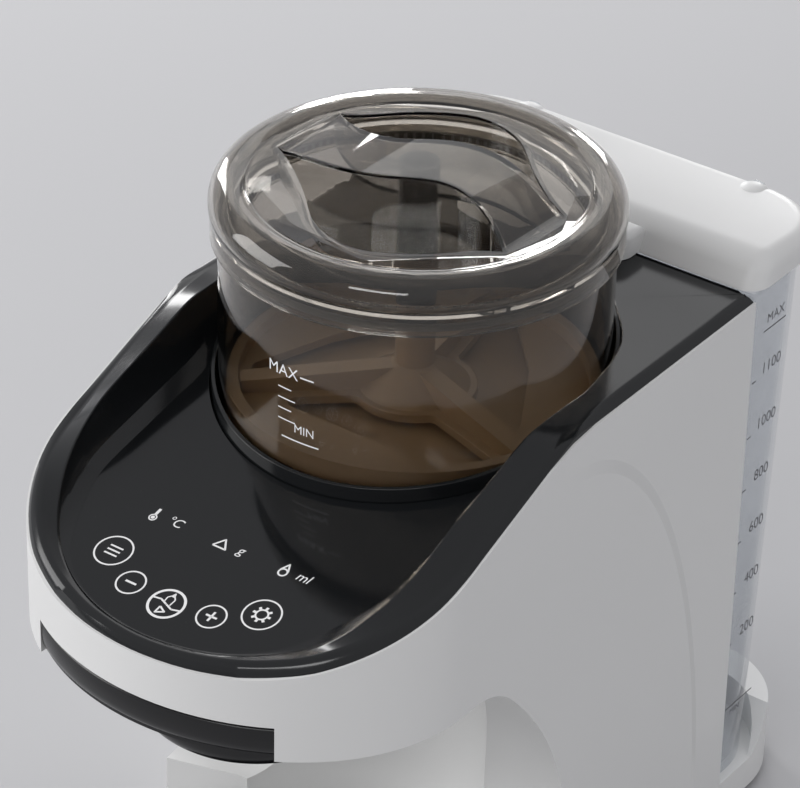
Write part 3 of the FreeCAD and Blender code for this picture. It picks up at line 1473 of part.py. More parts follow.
PIECES = {
    "housing": make_housing,
    "rear_panel": make_rear_panel,
    "top_deck": make_top_deck,
    "deck_screws": make_deck_screws,
    "touch_panel": make_touch_panel,
    "display_board": make_display_board,
    "jar_collar": make_jar_collar,
    "collar_plate": make_collar_plate,
    "powder_jar": make_powder_jar,
    "jar_base": make_jar_base,
    "powder_wheel": make_powder_wheel,
    "agitator": make_agitator,
    "jar_lid": make_jar_lid,
    "lid_hub": make_lid_hub,
    "lid_seal": make_lid_seal,
    "gearbox_housing": make_gearbox_housing,
    "gearbox_screws": make_gearbox_screws,
    "shaft_bush": make_shaft_bush,
    "drive_gear": make_drive_gear,
    "drive_coupler": make_drive_coupler,
    "powder_motor": make_powder_motor,
    "motor_pinion": make_motor_pinion,
    "powder_chute": make_powder_chute,
    "water_nozzle": make_water_nozzle,
    "outlet_hose": make_outlet_hose,
    "funnel_drawer": make_funnel_drawer,
    "powder_funnel": make_powder_funnel,
    "water_tank": make_water_tank,
    "tank_lid": make_tank_lid,
    "hinge_pins": make_hinge_pins,
    "valve_body": make_valve_body,
    "valve_plunger": make_valve_plunger,
    "valve_seal": make_valve_seal,
    "valve_spring": make_valve_spring,
    "base": make_base,
    "base_plate": make_base_plate,
    "base_screws": make_base_screws,
    "feet": make_feet,
    "tank_dock": make_tank_dock,
    "mains_inlet": make_mains_inlet,
    "drip_tray": make_drip_tray,
    "drip_grid": make_drip_grid,
    "heater": make_heater,
    "temperature_probe": make_temperature_probe,
    "heater_bracket": make_heater_bracket,
    "water_pump": make_water_pump,
    "pump_bracket": make_pump_bracket,
    "feed_hose": make_feed_hose,
    "suction_hose": make_suction_hose,
    "main_board": make_main_board,
    "power_supply": make_power_supply,
}


def main():
    os.makedirs("parts", exist_ok=True)
    for name, make in PIECES.items():
        make().exportStep(os.path.join("parts", name + ".step"))


main()
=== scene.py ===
import json
import math
from functools import partial

import bmesh
import bpy
from mathutils import Matrix, Vector
from mathutils.geometry import interpolate_bezier


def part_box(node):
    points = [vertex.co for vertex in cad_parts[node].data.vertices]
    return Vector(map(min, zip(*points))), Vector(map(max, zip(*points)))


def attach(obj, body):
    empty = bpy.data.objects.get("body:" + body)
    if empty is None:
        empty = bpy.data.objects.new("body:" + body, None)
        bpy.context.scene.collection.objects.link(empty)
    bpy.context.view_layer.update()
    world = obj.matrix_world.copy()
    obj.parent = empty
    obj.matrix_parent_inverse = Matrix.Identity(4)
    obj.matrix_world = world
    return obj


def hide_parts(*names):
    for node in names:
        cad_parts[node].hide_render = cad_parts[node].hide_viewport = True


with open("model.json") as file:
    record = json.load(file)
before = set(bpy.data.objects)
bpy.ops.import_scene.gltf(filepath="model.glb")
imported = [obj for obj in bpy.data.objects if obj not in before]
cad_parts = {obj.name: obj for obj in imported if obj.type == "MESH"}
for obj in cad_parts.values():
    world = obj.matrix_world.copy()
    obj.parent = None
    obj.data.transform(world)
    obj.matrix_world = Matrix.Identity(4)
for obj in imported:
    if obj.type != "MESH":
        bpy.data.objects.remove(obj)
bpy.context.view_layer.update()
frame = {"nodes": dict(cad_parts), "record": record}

bl_info = {
    "name": "Baby formula maker",
    "version": (1, 0, 0),
    "blender": (4, 5, 0),
    "location": "View3D > Sidebar > Formula maker",
    "description": "Dresses the baby formula maker: shells, deck, jar, tank, marks and stage",
    "category": "Object",
}

MM = 0.001

# Sizes of the body in millimetres. Its plan ends in a half ellipse, the nose.
HALF_WIDTH = 102.5
NOSE_DEPTH = 86.0
NOSE_CENTRE = -99.0
DECK_TOP = 282.0

# The jar, and the deck's hole that it stands in.
JAR_Y = 6.0
JAR_RADIUS = 83.0
HOLE_RADIUS = 86.4

# The touch panel's height at y = 0, and how much it rises per millimetre to the rear.
PANEL_HEIGHT = 262.0
PANEL_SLOPE = 0.21

# The seam between wall and deck: a sloping line through one point, kept between two heights.
SEAM_LOWEST = 221.4
SEAM_HIGHEST = 279.0
SEAM_Y = -100.0
SEAM_HEIGHT = 250.0
SEAM_SLOPE = 0.39

# The water tank: its side walls lean outwards from the floor to the top.
TANK_FRONT = 111.8
TANK_FLOOR = 21.3
TANK_WALL_HEIGHT = 259.7
TANK_HALF_FLOOR = 98.5
TANK_LEAN = 3.7
TANK_LID_BOTTOM = 282.0
TANK_LID_HEIGHT = 15.0

# How close two corners of a copied solid, or of a seam, lie to be one corner, in metres.
SAME_CORNER = 2e-6
SAME_SEAM = 0.00002

# Facets that turn less than this are one flat face; edges that turn more than this are rounded.
FLAT_ANGLE = math.radians(0.6)
ROUNDED_ANGLE = math.radians(32.0)

# The usual range of a noise texture.
NOISE_LOW = 0.3
NOISE_HIGH = 0.7


# ---- sizes and colours a user may change ------------------------------------------------------
class FormulaMakerSizes(bpy.types.PropertyGroup):
    edge_round: bpy.props.FloatProperty(
        name="Edge round", description="Radius of the moulded outer edges",
        default=0.0008, min=0.0, unit="LENGTH")
    small_round: bpy.props.FloatProperty(
        name="Small round", description="Radius of the edges of small parts",
        default=0.0003, min=0.0, unit="LENGTH")
    print_height: bpy.props.FloatProperty(
        name="Print height", description="How far printed marks stand off the surface",
        default=0.00008, min=0.0, unit="LENGTH")
    smooth_angle: bpy.props.FloatProperty(
        name="Smooth angle", description="Edges sharper than this stay crisp",
        default=math.radians(28.0), subtype="ANGLE")


class FormulaMakerColours(bpy.types.PropertyGroup):
    white: bpy.props.FloatVectorProperty(
        name="White shell", description="Moulded white shell",
        default=(0.80, 0.80, 0.79), subtype="COLOR", size=3)
    black: bpy.props.FloatVectorProperty(
        name="Black deck", description="Glossy black deck and drawer",
        default=(0.010, 0.011, 0.012), subtype="COLOR", size=3)
    smoke: bpy.props.FloatVectorProperty(
        name="Smoke tint", description="What one wall of the smoked jar lets through",
        default=(0.64, 0.60, 0.55), subtype="COLOR", size=3)
    lid_smoke: bpy.props.FloatVectorProperty(
        name="Lid tint", description="What one wall of the smoked lid lets through",
        default=(0.62, 0.595, 0.56), subtype="COLOR", size=3)
    clear: bpy.props.FloatVectorProperty(
        name="Tank tint", description="What one face of the clear tank lets through",
        default=(0.93, 0.94, 0.95), subtype="COLOR", size=3)
    beige: bpy.props.FloatVectorProperty(
        name="Beige", description="Powder wheel and agitator",
        default=(0.44, 0.31, 0.185), subtype="COLOR", size=3)
    grey: bpy.props.FloatVectorProperty(
        name="Grey", description="Grey inner mouldings",
        default=(0.32, 0.32, 0.33), subtype="COLOR", size=3)
    floor: bpy.props.FloatVectorProperty(
        name="Floor", description="Pale floor",
        default=(0.55, 0.55, 0.56), subtype="COLOR", size=3)


# ---- shader maths -----------------------------------------------------------------------------
class Wire:
    """One output socket. Sums, products and powers of it add Math nodes."""

    def __init__(self, graph, socket):
        self.graph = graph
        self.socket = socket

    def maths(self, operation, first, second):
        made = self.graph.add("ShaderNodeMath", {"operation": operation}, {0: first, 1: second})
        return made("Value")

    def __add__(self, other):
        return self.maths("ADD", self, other)

    def __radd__(self, other):
        return self.maths("ADD", other, self)

    def __sub__(self, other):
        return self.maths("SUBTRACT", self, other)

    def __mul__(self, other):
        return self.maths("MULTIPLY", self, other)

    def __rmul__(self, other):
        return self.maths("MULTIPLY", other, self)

    def __truediv__(self, other):
        return self.maths("DIVIDE", self, other)

    def __pow__(self, other):
        return self.maths("POWER", self, other)


class Graph:
    """The nodes of one material, started empty."""

    # Sockets of a Mix node in colour mode, whose names are shared with its other modes.
    mix_factor, mix_first, mix_second, mix_result = 0, 6, 7, 2

    def __init__(self, name):
        self.material = bpy.data.materials.new(name)
        self.material.use_nodes = True
        self.tree = self.material.node_tree
        self.tree.nodes.clear()

    def add(self, kind, settings=None, inputs=None):
        """Adds a node, sets it up, then fills its sockets with values or links; gives its outputs by name."""
        node = self.tree.nodes.new(kind)
        for key, value in (settings or {}).items():
            setattr(node, key, value)
        for key, value in (inputs or {}).items():
            socket = node.inputs[key]
            if isinstance(value, Wire):
                self.tree.links.new(value.socket, socket)
            elif hasattr(socket.default_value, "__len__") and len(value) < len(socket.default_value):
                socket.default_value = (*value, 1.0)
            else:
                socket.default_value = value

        def outputs(name):
            return Wire(self, node.outputs[name])

        return outputs

    def place(self):
        """Where a point is on the piece, in metres."""
        return self.add("ShaderNodeTexCoord")("Object")

    def noise(self, scale, detail):
        """Even noise of that scale per metre."""
        made = self.add("ShaderNodeTexNoise", {}, {
            "Vector": self.place(), "Scale": scale, "Detail": detail})
        return made("Fac")

    def spread(self, value, low, high, to_low, to_high):
        """Maps a value's range to another one, clamped."""
        made = self.add("ShaderNodeMapRange", {}, {
            "Value": value, "From Min": low, "From Max": high, "To Min": to_low, "To Max": to_high})
        return made("Result")

    def stretch(self, noise, to_low=0.0, to_high=1.0):
        """Maps a noise's usual range to another one, clamped."""
        return self.spread(noise, NOISE_LOW, NOISE_HIGH, to_low, to_high)

    def blend(self, factor, first, second):
        """Mixes two colours by a factor."""
        made = self.add("ShaderNodeMix", {"data_type": "RGBA"}, {
            self.mix_factor: factor, self.mix_first: first, self.mix_second: second})
        return made(self.mix_result)

    def bump(self, height, distance, normal=None):
        """A bump from a height, in metres of travel."""
        inputs = {"Height": height, "Distance": distance}
        if normal:
            inputs["Normal"] = normal
        return self.add("ShaderNodeBump", {}, inputs)("Normal")

    def shell(self, inputs):
        """The main shader."""
        return self.add("ShaderNodeBsdfPrincipled", {}, inputs)("BSDF")

    def finish(self, surface):
        self.add("ShaderNodeOutputMaterial", {}, {"Surface": surface})
        return self.material


# ---- finishes ---------------------------------------------------------------------------------
# Each noise is given by its scale per metre and its detail, and each bump by its depth in metres.
def moulded(name, colour, roughness, grain=0.00001, grain_scale=2600.0, tone=0.03):
    """Moulded plastic: a fine spark-eroded grain, slow tone drift and uneven gloss."""
    g = Graph(name)
    drift = g.noise(9.0, 3.0)
    smear = g.noise(34.0, 4.0)
    fine = g.noise(grain_scale, 2.0)
    uneven = 0.05
    darker = [c * (1.0 - tone) for c in colour]
    lighter = [min(1.0, c * (1.0 + tone)) for c in colour]
    return g.finish(g.shell({
        "Base Color": g.blend(g.stretch(drift), darker, lighter),
        "Roughness": g.stretch(smear, roughness - uneven, roughness + uneven),
        "Normal": g.bump(fine, grain)}))


def body_white(name, colour):
    """The white shell with a shallow step along a curve on each side, as the mould leaves it."""
    g = Graph(name)
    drift = g.noise(9.0, 3.0)
    smear = g.noise(34.0, 4.0)
    fine = g.noise(2600.0, 2.0)
    split = g.add("ShaderNodeSeparateXYZ", {}, {"Vector": g.place()})
    # Seen from the side, the curve is a quarter of an ellipse: its centre and half axes in metres.
    centre_y, centre_z = -0.025, 0.020
    half_y, half_z = 0.1125, 0.240
    back = (split("Y") - centre_y) / half_y
    up = (split("Z") - centre_z) / half_z
    curve = (back * back + up * up) ** 0.5
    inside = g.spread(curve, 0.985, 1.012, 0.0, 1.0)
    fade = g.spread(split("Y"), -0.03, 0.015, 0.0, 1.0) * g.spread(split("Z"), 0.02, 0.06, 0.0, 1.0)
    step = g.bump(inside * fade, 0.0018)
    return g.finish(g.shell({
        "Base Color": g.blend(g.stretch(drift), [c * 0.985 for c in colour], colour),
        "Roughness": g.stretch(smear, 0.36, 0.44),
        "Normal": g.bump(fine, 0.00001, normal=step)}))


def gloss_black(name, colour, roughness):
    """Polished black plastic: faint smears, a few dust specks and a slight moulding ripple."""
    g = Graph(name)
    smear = g.noise(22.0, 5.0)
    ripple = g.noise(7.0, 1.0)
    cells = g.add("ShaderNodeTexVoronoi", {"feature": "F1"}, {"Vector": g.place(), "Scale": 210.0})
    speck = g.spread(cells("Distance"), 0.02, 0.05, 1.0, 0.0)
    rough = g.spread(smear, 0.35, 0.75, roughness, roughness + 0.07)
    base = g.blend(speck * 0.25, colour, (0.16, 0.16, 0.16))
    return g.finish(g.shell({
        "Base Color": base, "Roughness": rough, "IOR": 1.46,
        "Normal": g.bump(ripple, 0.00012)}))


def see_through(name, tint, haze, haze_colour):
    """A clear wall: lets tinted light through, mirrors more at a glance, with a trace of haze."""
    g = Graph(name)
    facing = g.add("ShaderNodeLayerWeight", {}, {"Blend": 0.5})("Facing")
    head_on = 0.04
    mirror = head_on + (1.0 - head_on) * facing ** 5.0
    wave = g.bump(g.noise(30.0, 2.0), 0.00003)
    through = g.add("ShaderNodeBsdfTransparent", {}, {"Color": tint})("BSDF")
    cloud = g.add("ShaderNodeBsdfDiffuse", {}, {"Color": haze_colour})("BSDF")
    clouded = g.stretch(g.noise(25.0, 4.0), haze * 0.7, haze * 1.3)
    soft = g.add("ShaderNodeMixShader", {}, {0: clouded, 1: through, 2: cloud})("Shader")
    polish = {"Color": (1.0, 1.0, 1.0), "Roughness": 0.03, "Normal": wave}
    shine = g.add("ShaderNodeBsdfGlossy", {}, polish)("BSDF")
    return g.finish(g.add("ShaderNodeMixShader", {}, {0: mirror, 1: soft, 2: shine})("Shader"))


def tinted_glass(name, tint, roughness):
    """Polished see-through plastic with real thickness: bends light, with a slow ripple and faint smears."""
    g = Graph(name)
    smear = g.spread(g.noise(40.0, 4.0), 0.35, 0.75, roughness, roughness + 0.03)
    base = g.blend(g.stretch(g.noise(12.0, 2.0)), [c * 0.97 for c in tint], tint)
    return g.finish(g.shell({
        "Base Color": base, "Roughness": smear, "Transmission Weight": 1.0, "IOR": 1.49,
        "Normal": g.bump(g.noise(30.0, 2.0), 0.00003)}))


def satin_black(name, colour, roughness):
    """Near-black satin moulding with a fine grain and rubbed patches."""
    g = Graph(name)
    rubbed = g.spread(g.noise(28.0, 4.0), 0.35, 0.7, roughness - 0.05, roughness + 0.06)
    return g.finish(g.shell({
        "Base Color": g.blend(g.noise(11.0, 3.0), [c * 0.8 for c in colour], colour), "Roughness": rubbed,
        "Specular IOR Level": 0.5, "Normal": g.bump(g.noise(1800.0, 2.0), 0.000008)}))


def metal(name, colour, roughness):
    """Machined or drawn metal with fine turning marks."""
    g = Graph(name)
    grain = g.noise(900.0, 2.0)
    smear = g.noise(60.0, 4.0)
    return g.finish(g.shell({
        "Base Color": colour, "Metallic": 1.0,
        "Roughness": g.stretch(smear, roughness, roughness + 0.15),
        "Normal": g.bump(grain, 0.00002)}))


def printed(name, colour, glow=0.0):
    """Screen-printed ink with a slightly uneven coat; a glow above zero adds painted light, so the ink shines
    though no lamp lights it.
    """
    g = Graph(name)
    coat = g.noise(1400.0, 2.0)
    return g.finish(g.shell({
        "Base Color": g.blend(g.stretch(coat), [c * 0.93 for c in colour], colour),
        "Roughness": 0.45, "Normal": g.bump(coat, 0.00001),
        "Emission Color": colour, "Emission Strength": glow}))


def make_finishes(colours):
    """All materials by their slot in the record, and a few that only show here."""
    white = tuple(colours.white)
    black = tuple(colours.black)
    return {
        "white_plastic": moulded("white_shell", white, 0.40),
        "body_white": body_white("body_white", white),
        "black_plastic": gloss_black("black_gloss", black, 0.11),
        "panel_black": gloss_black("panel_black", (0.008, 0.009, 0.010), 0.06),
        "clear_plastic": see_through("tank_clear", tuple(colours.clear), 0.10, (0.62, 0.64, 0.68)),
        "smoke_plastic": tinted_glass("jar_smoke", tuple(colours.smoke), 0.015),
        "lid_smoke": tinted_glass("lid_smoke", tuple(colours.lid_smoke), 0.012),
        "beige_plastic": moulded("beige_moulded", tuple(colours.beige), 0.38, tone=0.06),
        "grey_plastic": moulded("grey_moulded", tuple(colours.grey), 0.45),
        "rubber": moulded("rubber_dark", (0.03, 0.03, 0.032), 0.75, grain=0.00003, grain_scale=1800.0),
        "silicone": moulded("silicone_pale", (0.55, 0.56, 0.56), 0.5),
        "steel": metal("steel_brushed", (0.62, 0.62, 0.63), 0.22),
        "brass": metal("brass_turned", (0.72, 0.52, 0.24), 0.24),
        "board_green": moulded("board_mask", (0.02, 0.16, 0.07), 0.35, tone=0.15),
        "gear_plastic": moulded("gear_acetal", (0.62, 0.62, 0.58), 0.4),
        "satin_black": satin_black("satin_black", (0.005, 0.005, 0.006), 0.20),
        # The white ink is real print, and its faint glow is painted light: the marks shine without a lamp.
        "ink_white_painted_glow": printed("ink_white_painted_glow", (0.85, 0.85, 0.85), 0.15),
        "ink_grey": printed("ink_grey", (0.10, 0.10, 0.11)),
    }


# Filled by main, once the colours are registered.
finishes = {}


# ---- making pieces ----------------------------------------------------------------------------
def sizes():
    """The sizes that a user may change."""
    return bpy.context.scene.formula_maker_sizes


def slot_of(node):
    """The record's material slot of a node."""
    for part in frame["record"]["subparts"]:
        if part["node"] == node:
            return part["material_slot"]
    raise RuntimeError(f"no slot for {node}")


def body_of(node):
    """The body a node moves with."""
    for body, members in frame["record"]["behaviour"]["bodies"].items():
        if node in members:
            return body
    raise RuntimeError(f"{node} moves with no body")


def mark_crisp(bm, angle):
    """Shades the mesh smooth but for the edges sharper than the angle."""
    for face in bm.faces:
        face.smooth = True
    for edge in bm.edges:
        edge.smooth = len(edge.link_faces) == 2 and edge.calc_face_angle(0.0) < angle


def put(bm, name, body, slot, material=None):
    """Turns a finished bmesh into a piece that rides on a body."""
    mesh = bpy.data.meshes.new(name)
    bm.to_mesh(mesh)
    bm.free()
    piece = bpy.data.objects.new(name, mesh)
    bpy.context.scene.collection.objects.link(piece)
    mesh.materials.append(finishes[material or slot])
    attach(piece, body)
    return piece


def node_mesh(node):
    """A merged copy of a node's solid, its flat faces joined."""
    bm = bmesh.new()
    bm.from_mesh(frame["nodes"][node].data)
    bmesh.ops.remove_doubles(bm, verts=bm.verts, dist=SAME_CORNER)
    bmesh.ops.dissolve_limit(bm, angle_limit=FLAT_ANGLE, verts=bm.verts, edges=bm.edges)
    return bm


def dress(node, rounding, material=None):
    """A smooth copy of a node with rounded edges, standing for it."""
    bm = node_mesh(node)
    mark_crisp(bm, sizes().smooth_angle)
    piece = put(bm, f"{node}_shell", body_of(node), slot_of(node), material)
    if rounding > 0.0:
        bevel = piece.modifiers.new("edge_round", "BEVEL")
        bevel.width = rounding
        bevel.segments = 3
        bevel.limit_method = "ANGLE"
        bevel.angle_limit = ROUNDED_ANGLE
        bevel.harden_normals = True
    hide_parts(node)


def smooth_line(stops, steps, corners=()):
    """Points along a smooth line through the stops, in metres; it may turn sharply at a corner."""
    places = [Vector(stop) * MM for stop in stops]
    last = len(places) - 1
    heads = []
    for index, place in enumerate(places):
        before = places[index - 1] if index else flipped(places[1])
        after = places[index + 1] if index < last else flipped(places[last - 1])
        if (index == 0 or index == last) and abs(place.x) > 1e-6:
            before, after = (place, places[1]) if index == 0 else (places[last - 1], place)
        heads.append((after - before).normalized())
    points = [places[0]]
    for index in range(last):
        near, far = places[index], places[index + 1]
        straight = (far - near).normalized()
        third = (far - near).length / 3.0
        leave = straight if index in corners else heads[index]
        reach = straight if index + 1 in corners else heads[index + 1]
        bend = interpolate_bezier(near, near + leave * third, far - reach * third, far, steps + 1)
        points.extend(bend[1:])
    return points


def flipped(place):
    """The place's mirror image on the other side of the body."""
    return Vector((-place.x, place.y, place.z))


def add_line(bm, points):
    """A chain of edges through the points."""
    verts = [bm.verts.new(point) for point in points]
    return [bm.edges.new(pair) for pair in zip(verts, verts[1:])]


def loft(bm, lines):
    """Skins neighbouring lines that have equal counts of points; gives each line's edges."""
    rows = [add_line(bm, line) for line in lines]
    for near, far in zip(rows, rows[1:]):
        bmesh.ops.bridge_loops(bm, edges=near + far)
    return rows


def mirror_half(bm):
    """Adds the left half and closes the seam in the middle."""
    everything = bm.verts[:] + bm.edges[:] + bm.faces[:]
    bmesh.ops.mirror(bm, geom=everything, axis="X", merge_dist=SAME_SEAM)
    bmesh.ops.remove_doubles(bm, verts=bm.verts, dist=SAME_SEAM)
    bmesh.ops.recalc_face_normals(bm, faces=bm.faces)


def face_out(bm, way):
    """Turns an open skin so that its farthest face along a direction looks that way."""
    farthest = max(bm.faces, key=lambda face: face.calc_center_median().dot(way))
    if farthest.normal.dot(way) < 0.0:
        bmesh.ops.reverse_faces(bm, faces=bm.faces)


def round_edges(bm, edges, radius, segments):
    """Rounds the edges over a radius in metres."""
    bmesh.ops.bevel(
        bm, geom=edges, offset=radius, segments=segments, profile=0.5, affect="EDGES", material=-1)


def thicken(piece, thickness):
    """A live wall thickness inwards from the skin."""
    wall = piece.modifiers.new("wall", "SOLIDIFY")
    wall.thickness = thickness
    wall.offset = -1.0


def side_point(y, inset_x, inset_y):
    """A point of the body's straight side, moved inwards across; it keeps its y."""
    return HALF_WIDTH - inset_x, y


def nose_point(turn, inset_x, inset_y):
    """A point of the nose, moved inwards; turn is the angle round the half ellipse in degrees."""
    angle = math.radians(turn)
    across = (HALF_WIDTH - inset_x) * math.cos(angle)
    return across, NOSE_CENTRE - (NOSE_DEPTH - inset_y) * math.sin(angle)


def panel_z(y):
    """Height of the sloping panel in millimetres."""
    return PANEL_HEIGHT + PANEL_SLOPE * y


def seam_z(y):
    """Height of the line where the white wall meets the deck, in millimetres."""
    return min(SEAM_HIGHEST, max(SEAM_LOWEST, SEAM_HEIGHT + SEAM_SLOPE * (y - SEAM_Y)))


class DressOperator:
    """What the dressing operators share: the nodes they dress and how round their edges are."""

    nodes = ()
    small = False

    def execute(self, context):
        rounding = sizes().small_round if self.small else sizes().edge_round
        for node in self.nodes:
            dress(node, rounding)
        return {"FINISHED"}


class OBJECT_OT_maker_shells(DressOperator, bpy.types.Operator):
    """Dresses the white body, its rear panel, base, dock and bottom plate."""

    bl_idname = "object.maker_shells"
    bl_label = "Body shells"
    nodes = ("rear_panel", "base", "tank_dock", "base_plate")

    def execute(self, context):
        dress("housing", sizes().edge_round, "body_white")
        return super().execute(context)


class OBJECT_OT_maker_deck(bpy.types.Operator):
    """Builds the black deck with its two cheeks, and dresses the touch panel and jar collar."""

    bl_idname = "object.maker_deck"
    bl_label = "Deck"

    wall = 0.0012
    crease_round = 0.0011
    crisp_angle = math.radians(40.0)

    # Heights behind the jar: the skirt's foot, the wall's top behind and beside the jar, and the hole's rim.
    skirt_foot = 277.0
    wall_top_behind = 281.4
    wall_top_beside = 279.3
    hole_heights = (DECK_TOP, 276.0, 270.0, 262.5)
    # Behind the jar: outer place, crease place and the angle on the jar's hole, in millimetres and degrees.
    stations_behind = 3
    rear = (
        (0.0, 110.9, 0.0, 110.4, 90.0),
        (60.0, 110.9, 60.0, 110.4, 60.0),
        (94.0, 110.9, 94.0, 110.4, 52.5),
        (101.5, 110.9, 97.0, 110.4, 50.0),
        (101.5, 52.0, 97.0, 52.0, 27.0),
        (101.5, 6.0, 97.0, 6.0, 0.0),
    )
    # Beside the panel: y, crease height, inner edge height and the fillet's reach.
    side = (
        (-8.0, 281.3, 282.0, 1.0), (-24.0, 279.8, 282.0, 4.9), (-36.0, 277.4, 281.4, 9.7),
        (-46.0, 274.3, 278.6, 11.7), (-58.0, 270.2, 274.4, 11.7), (-72.0, 264.3, 269.9, 11.7),
        (-86.0, 257.9, 265.6, 11.7),
    )
    # Round the front: angle, crease height, inner edge height and the fillet's reach.
    front = (
        (0.0, 251.6, 260.2, 11.7), (10.0, 246.8, 252.8, 11.2), (20.0, 242.5, 245.6, 10.6),
        (30.0, 238.2, 237.9, 9.2), (40.0, 234.0, 231.9, 6.4), (50.0, 230.6, 229.4, 3.0),
        (62.0, 228.0, 227.2, 1.4), (75.0, 226.4, 225.8, 1.0), (90.0, 225.8, 225.2, 1.0),
    )

    # How far in from the body's outline the rim's lines lie, across and at the nose.
    wall_inset = (1.0, 1.0)
    shoulder_inset = (2.9, 2.6)
    crease_inset = (5.7, 5.7)
    edge_inset = (16.3, 8.0)
    # The wall stands from under the seam to above it; the shoulder is at a share of its way to the crease.
    below_seam = 1.6
    above_seam = 0.4
    shoulder_share = 0.72
    # The fillet's lines: part of its reach, and share of the rise from the panel to the inner edge.
    fillet = ((0.1, 0.42), (0.38, 0.12), (1.0, 0.0))
    above_panel = 0.06

    def execute(self, context):
        bm = bmesh.new()
        _, _, _, crease, edge, *_ = loft(bm, self.lines())
        round_edges(bm, [part for part in crease + edge if part.is_valid], self.crease_round, 3)
        mirror_half(bm)
        face_out(bm, Vector((0.0, 0.0, 1.0)))
        mark_crisp(bm, self.crisp_angle)
        deck = put(bm, "top_deck_shell", "machine", "black_plastic")
        thicken(deck, self.wall)
        even = deck.modifiers.new("even_normals", "WEIGHTED_NORMAL")
        even.keep_sharp = True
        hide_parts("top_deck")
        for node in ("touch_panel", "jar_collar"):
            dress(node, sizes().small_round)
        return {"FINISHED"}

    def lines(self):
        """Skirt, wall top, shoulder, crease, inner edge and the fillet's three lines."""
        rows = [self.rear_row(index, *station) for index, station in enumerate(self.rear)]
        for y, *heights in self.side:
            rows.append(self.rim_row(partial(side_point, y), *heights))
        for turn, *heights in self.front:
            rows.append(self.rim_row(partial(nose_point, turn), *heights))
        corners = (1, 2, 3)
        return [smooth_line(line, 4, corners) for line in zip(*rows)]

    def rear_row(self, index, x, y, crease_x, crease_y, angle):
        """One stop on each line at one place round the flat top behind the jar."""
        low = self.wall_top_behind if index < self.stations_behind else self.wall_top_beside
        turn = math.radians(angle)
        hole = (HOLE_RADIUS * math.cos(turn), JAR_Y + HOLE_RADIUS * math.sin(turn))
        middle = (0.5 * (x + crease_x), 0.5 * (y + crease_y))
        row = [(x, y, self.skirt_foot), (x, y, low), (*middle, low + 0.6 * (DECK_TOP - low)),
               (crease_x, crease_y, DECK_TOP)]
        row.extend((*hole, height) for height in self.hole_heights)
        return row

    def rim_row(self, plan, crease, edge, reach):
        """One stop on each line, across the deck's rim at one place of the plan."""
        outer = plan(*self.wall_inset)
        foot = seam_z(outer[1])
        top = foot + self.above_seam
        in_x, in_y = self.edge_inset
        rise = edge - panel_z(plan(in_x, in_y)[1])
        row = [
            (*outer, foot - self.below_seam),
            (*outer, top),
            (*plan(*self.shoulder_inset), top + self.shoulder_share * (crease - foot - self.above_seam)),
            (*plan(*self.crease_inset), crease),
            (*plan(in_x, in_y), edge),
        ]
        for part, share in self.fillet:
            place = plan(in_x + part * reach, in_y + part * reach)
            row.append((*place, panel_z(place[1]) + self.above_panel + share * rise))
        return row


class OBJECT_OT_maker_jar(DressOperator, bpy.types.Operator):
    """Dresses the powder jar with its wheel, agitator and lid."""

    bl_idname = "object.maker_jar"
    bl_label = "Powder jar"
    small = True
    nodes = ("powder_jar", "jar_base", "powder_wheel", "agitator", "lid_hub", "lid_seal")

    def execute(self, context):
        dress("jar_lid", sizes().edge_round, "lid_smoke")
        return super().execute(context)


class OBJECT_OT_maker_drawer(bpy.types.Operator):
    """Builds the black front of the funnel drawer with its curled lip, and dresses the funnel."""

    bl_idname = "object.maker_drawer"
    bl_label = "Funnel drawer"

    # Down the front: height, shift inwards at the middle and at the ends, in millimetres.
    levels = (
        (199.5, 4.5, 4.5), (199.5, 1.5, 1.5), (199.2, 0.9, 0.9), (198.5, 0.6, 0.6), (194.0, 0.4, 0.4),
        (190.8, 0.5, 0.5), (188.4, 1.0, 1.0), (186.7, 2.0, 2.0), (185.5, 3.4, 3.4), (184.9, 5.0, 5.0),
        (184.7, 6.6, 6.6),
    )
    # Places across the front from its right end to the middle, in millimetres.
    half_width = 60.0
    across = (59.9, 54.0, 44.0, 30.0, 15.0, 0.0)
    wall = 0.0016
    crisp_angle = math.radians(50.0)
    # Corners less than this behind the body's outline lie on the drawer's outermost face.
    skin_depth = 0.7

    def execute(self, context):
        bm = bmesh.new()
        loft(bm, [self.level(*level) for level in self.levels])
        mirror_half(bm)
        face_out(bm, Vector((0.0, -1.0, 0.0)))
        mark_crisp(bm, self.crisp_angle)
        front = put(bm, "drawer_front", "drawer", "black_plastic", "satin_black")
        thicken(front, self.wall)
        bm = node_mesh("funnel_drawer")
        outer = [vert for vert in bm.verts if self.on_skin(vert.co)]
        bmesh.ops.delete(bm, geom=outer, context="VERTS")
        mark_crisp(bm, sizes().smooth_angle)
        plate = put(bm, "drawer_plate", "drawer", "black_plastic", "satin_black")
        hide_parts("funnel_drawer")
        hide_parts("funnel_drawer")
        dress("powder_funnel", sizes().small_round, "satin_black")
        return {"FINISHED"}

    def level(self, z, middle, end):
        """One line across the front, from its right end to the middle."""
        stops = []
        for x in self.across:
            share = (x / self.half_width) ** 3
            inset = middle + (end - middle) * share
            turn = math.acos(x / (HALF_WIDTH - inset))
            stops.append((x, NOSE_CENTRE - (NOSE_DEPTH - inset) * math.sin(turn), z))
        return smooth_line(stops, 5)

    def on_skin(self, place):
        """Whether a corner lies on the drawer's outermost face."""
        across = place.x / MM / (HALF_WIDTH - self.skin_depth)
        ahead = (place.y / MM - NOSE_CENTRE) / (NOSE_DEPTH - self.skin_depth)
        return place.y < NOSE_CENTRE * MM and across * across + ahead * ahead > 1.0


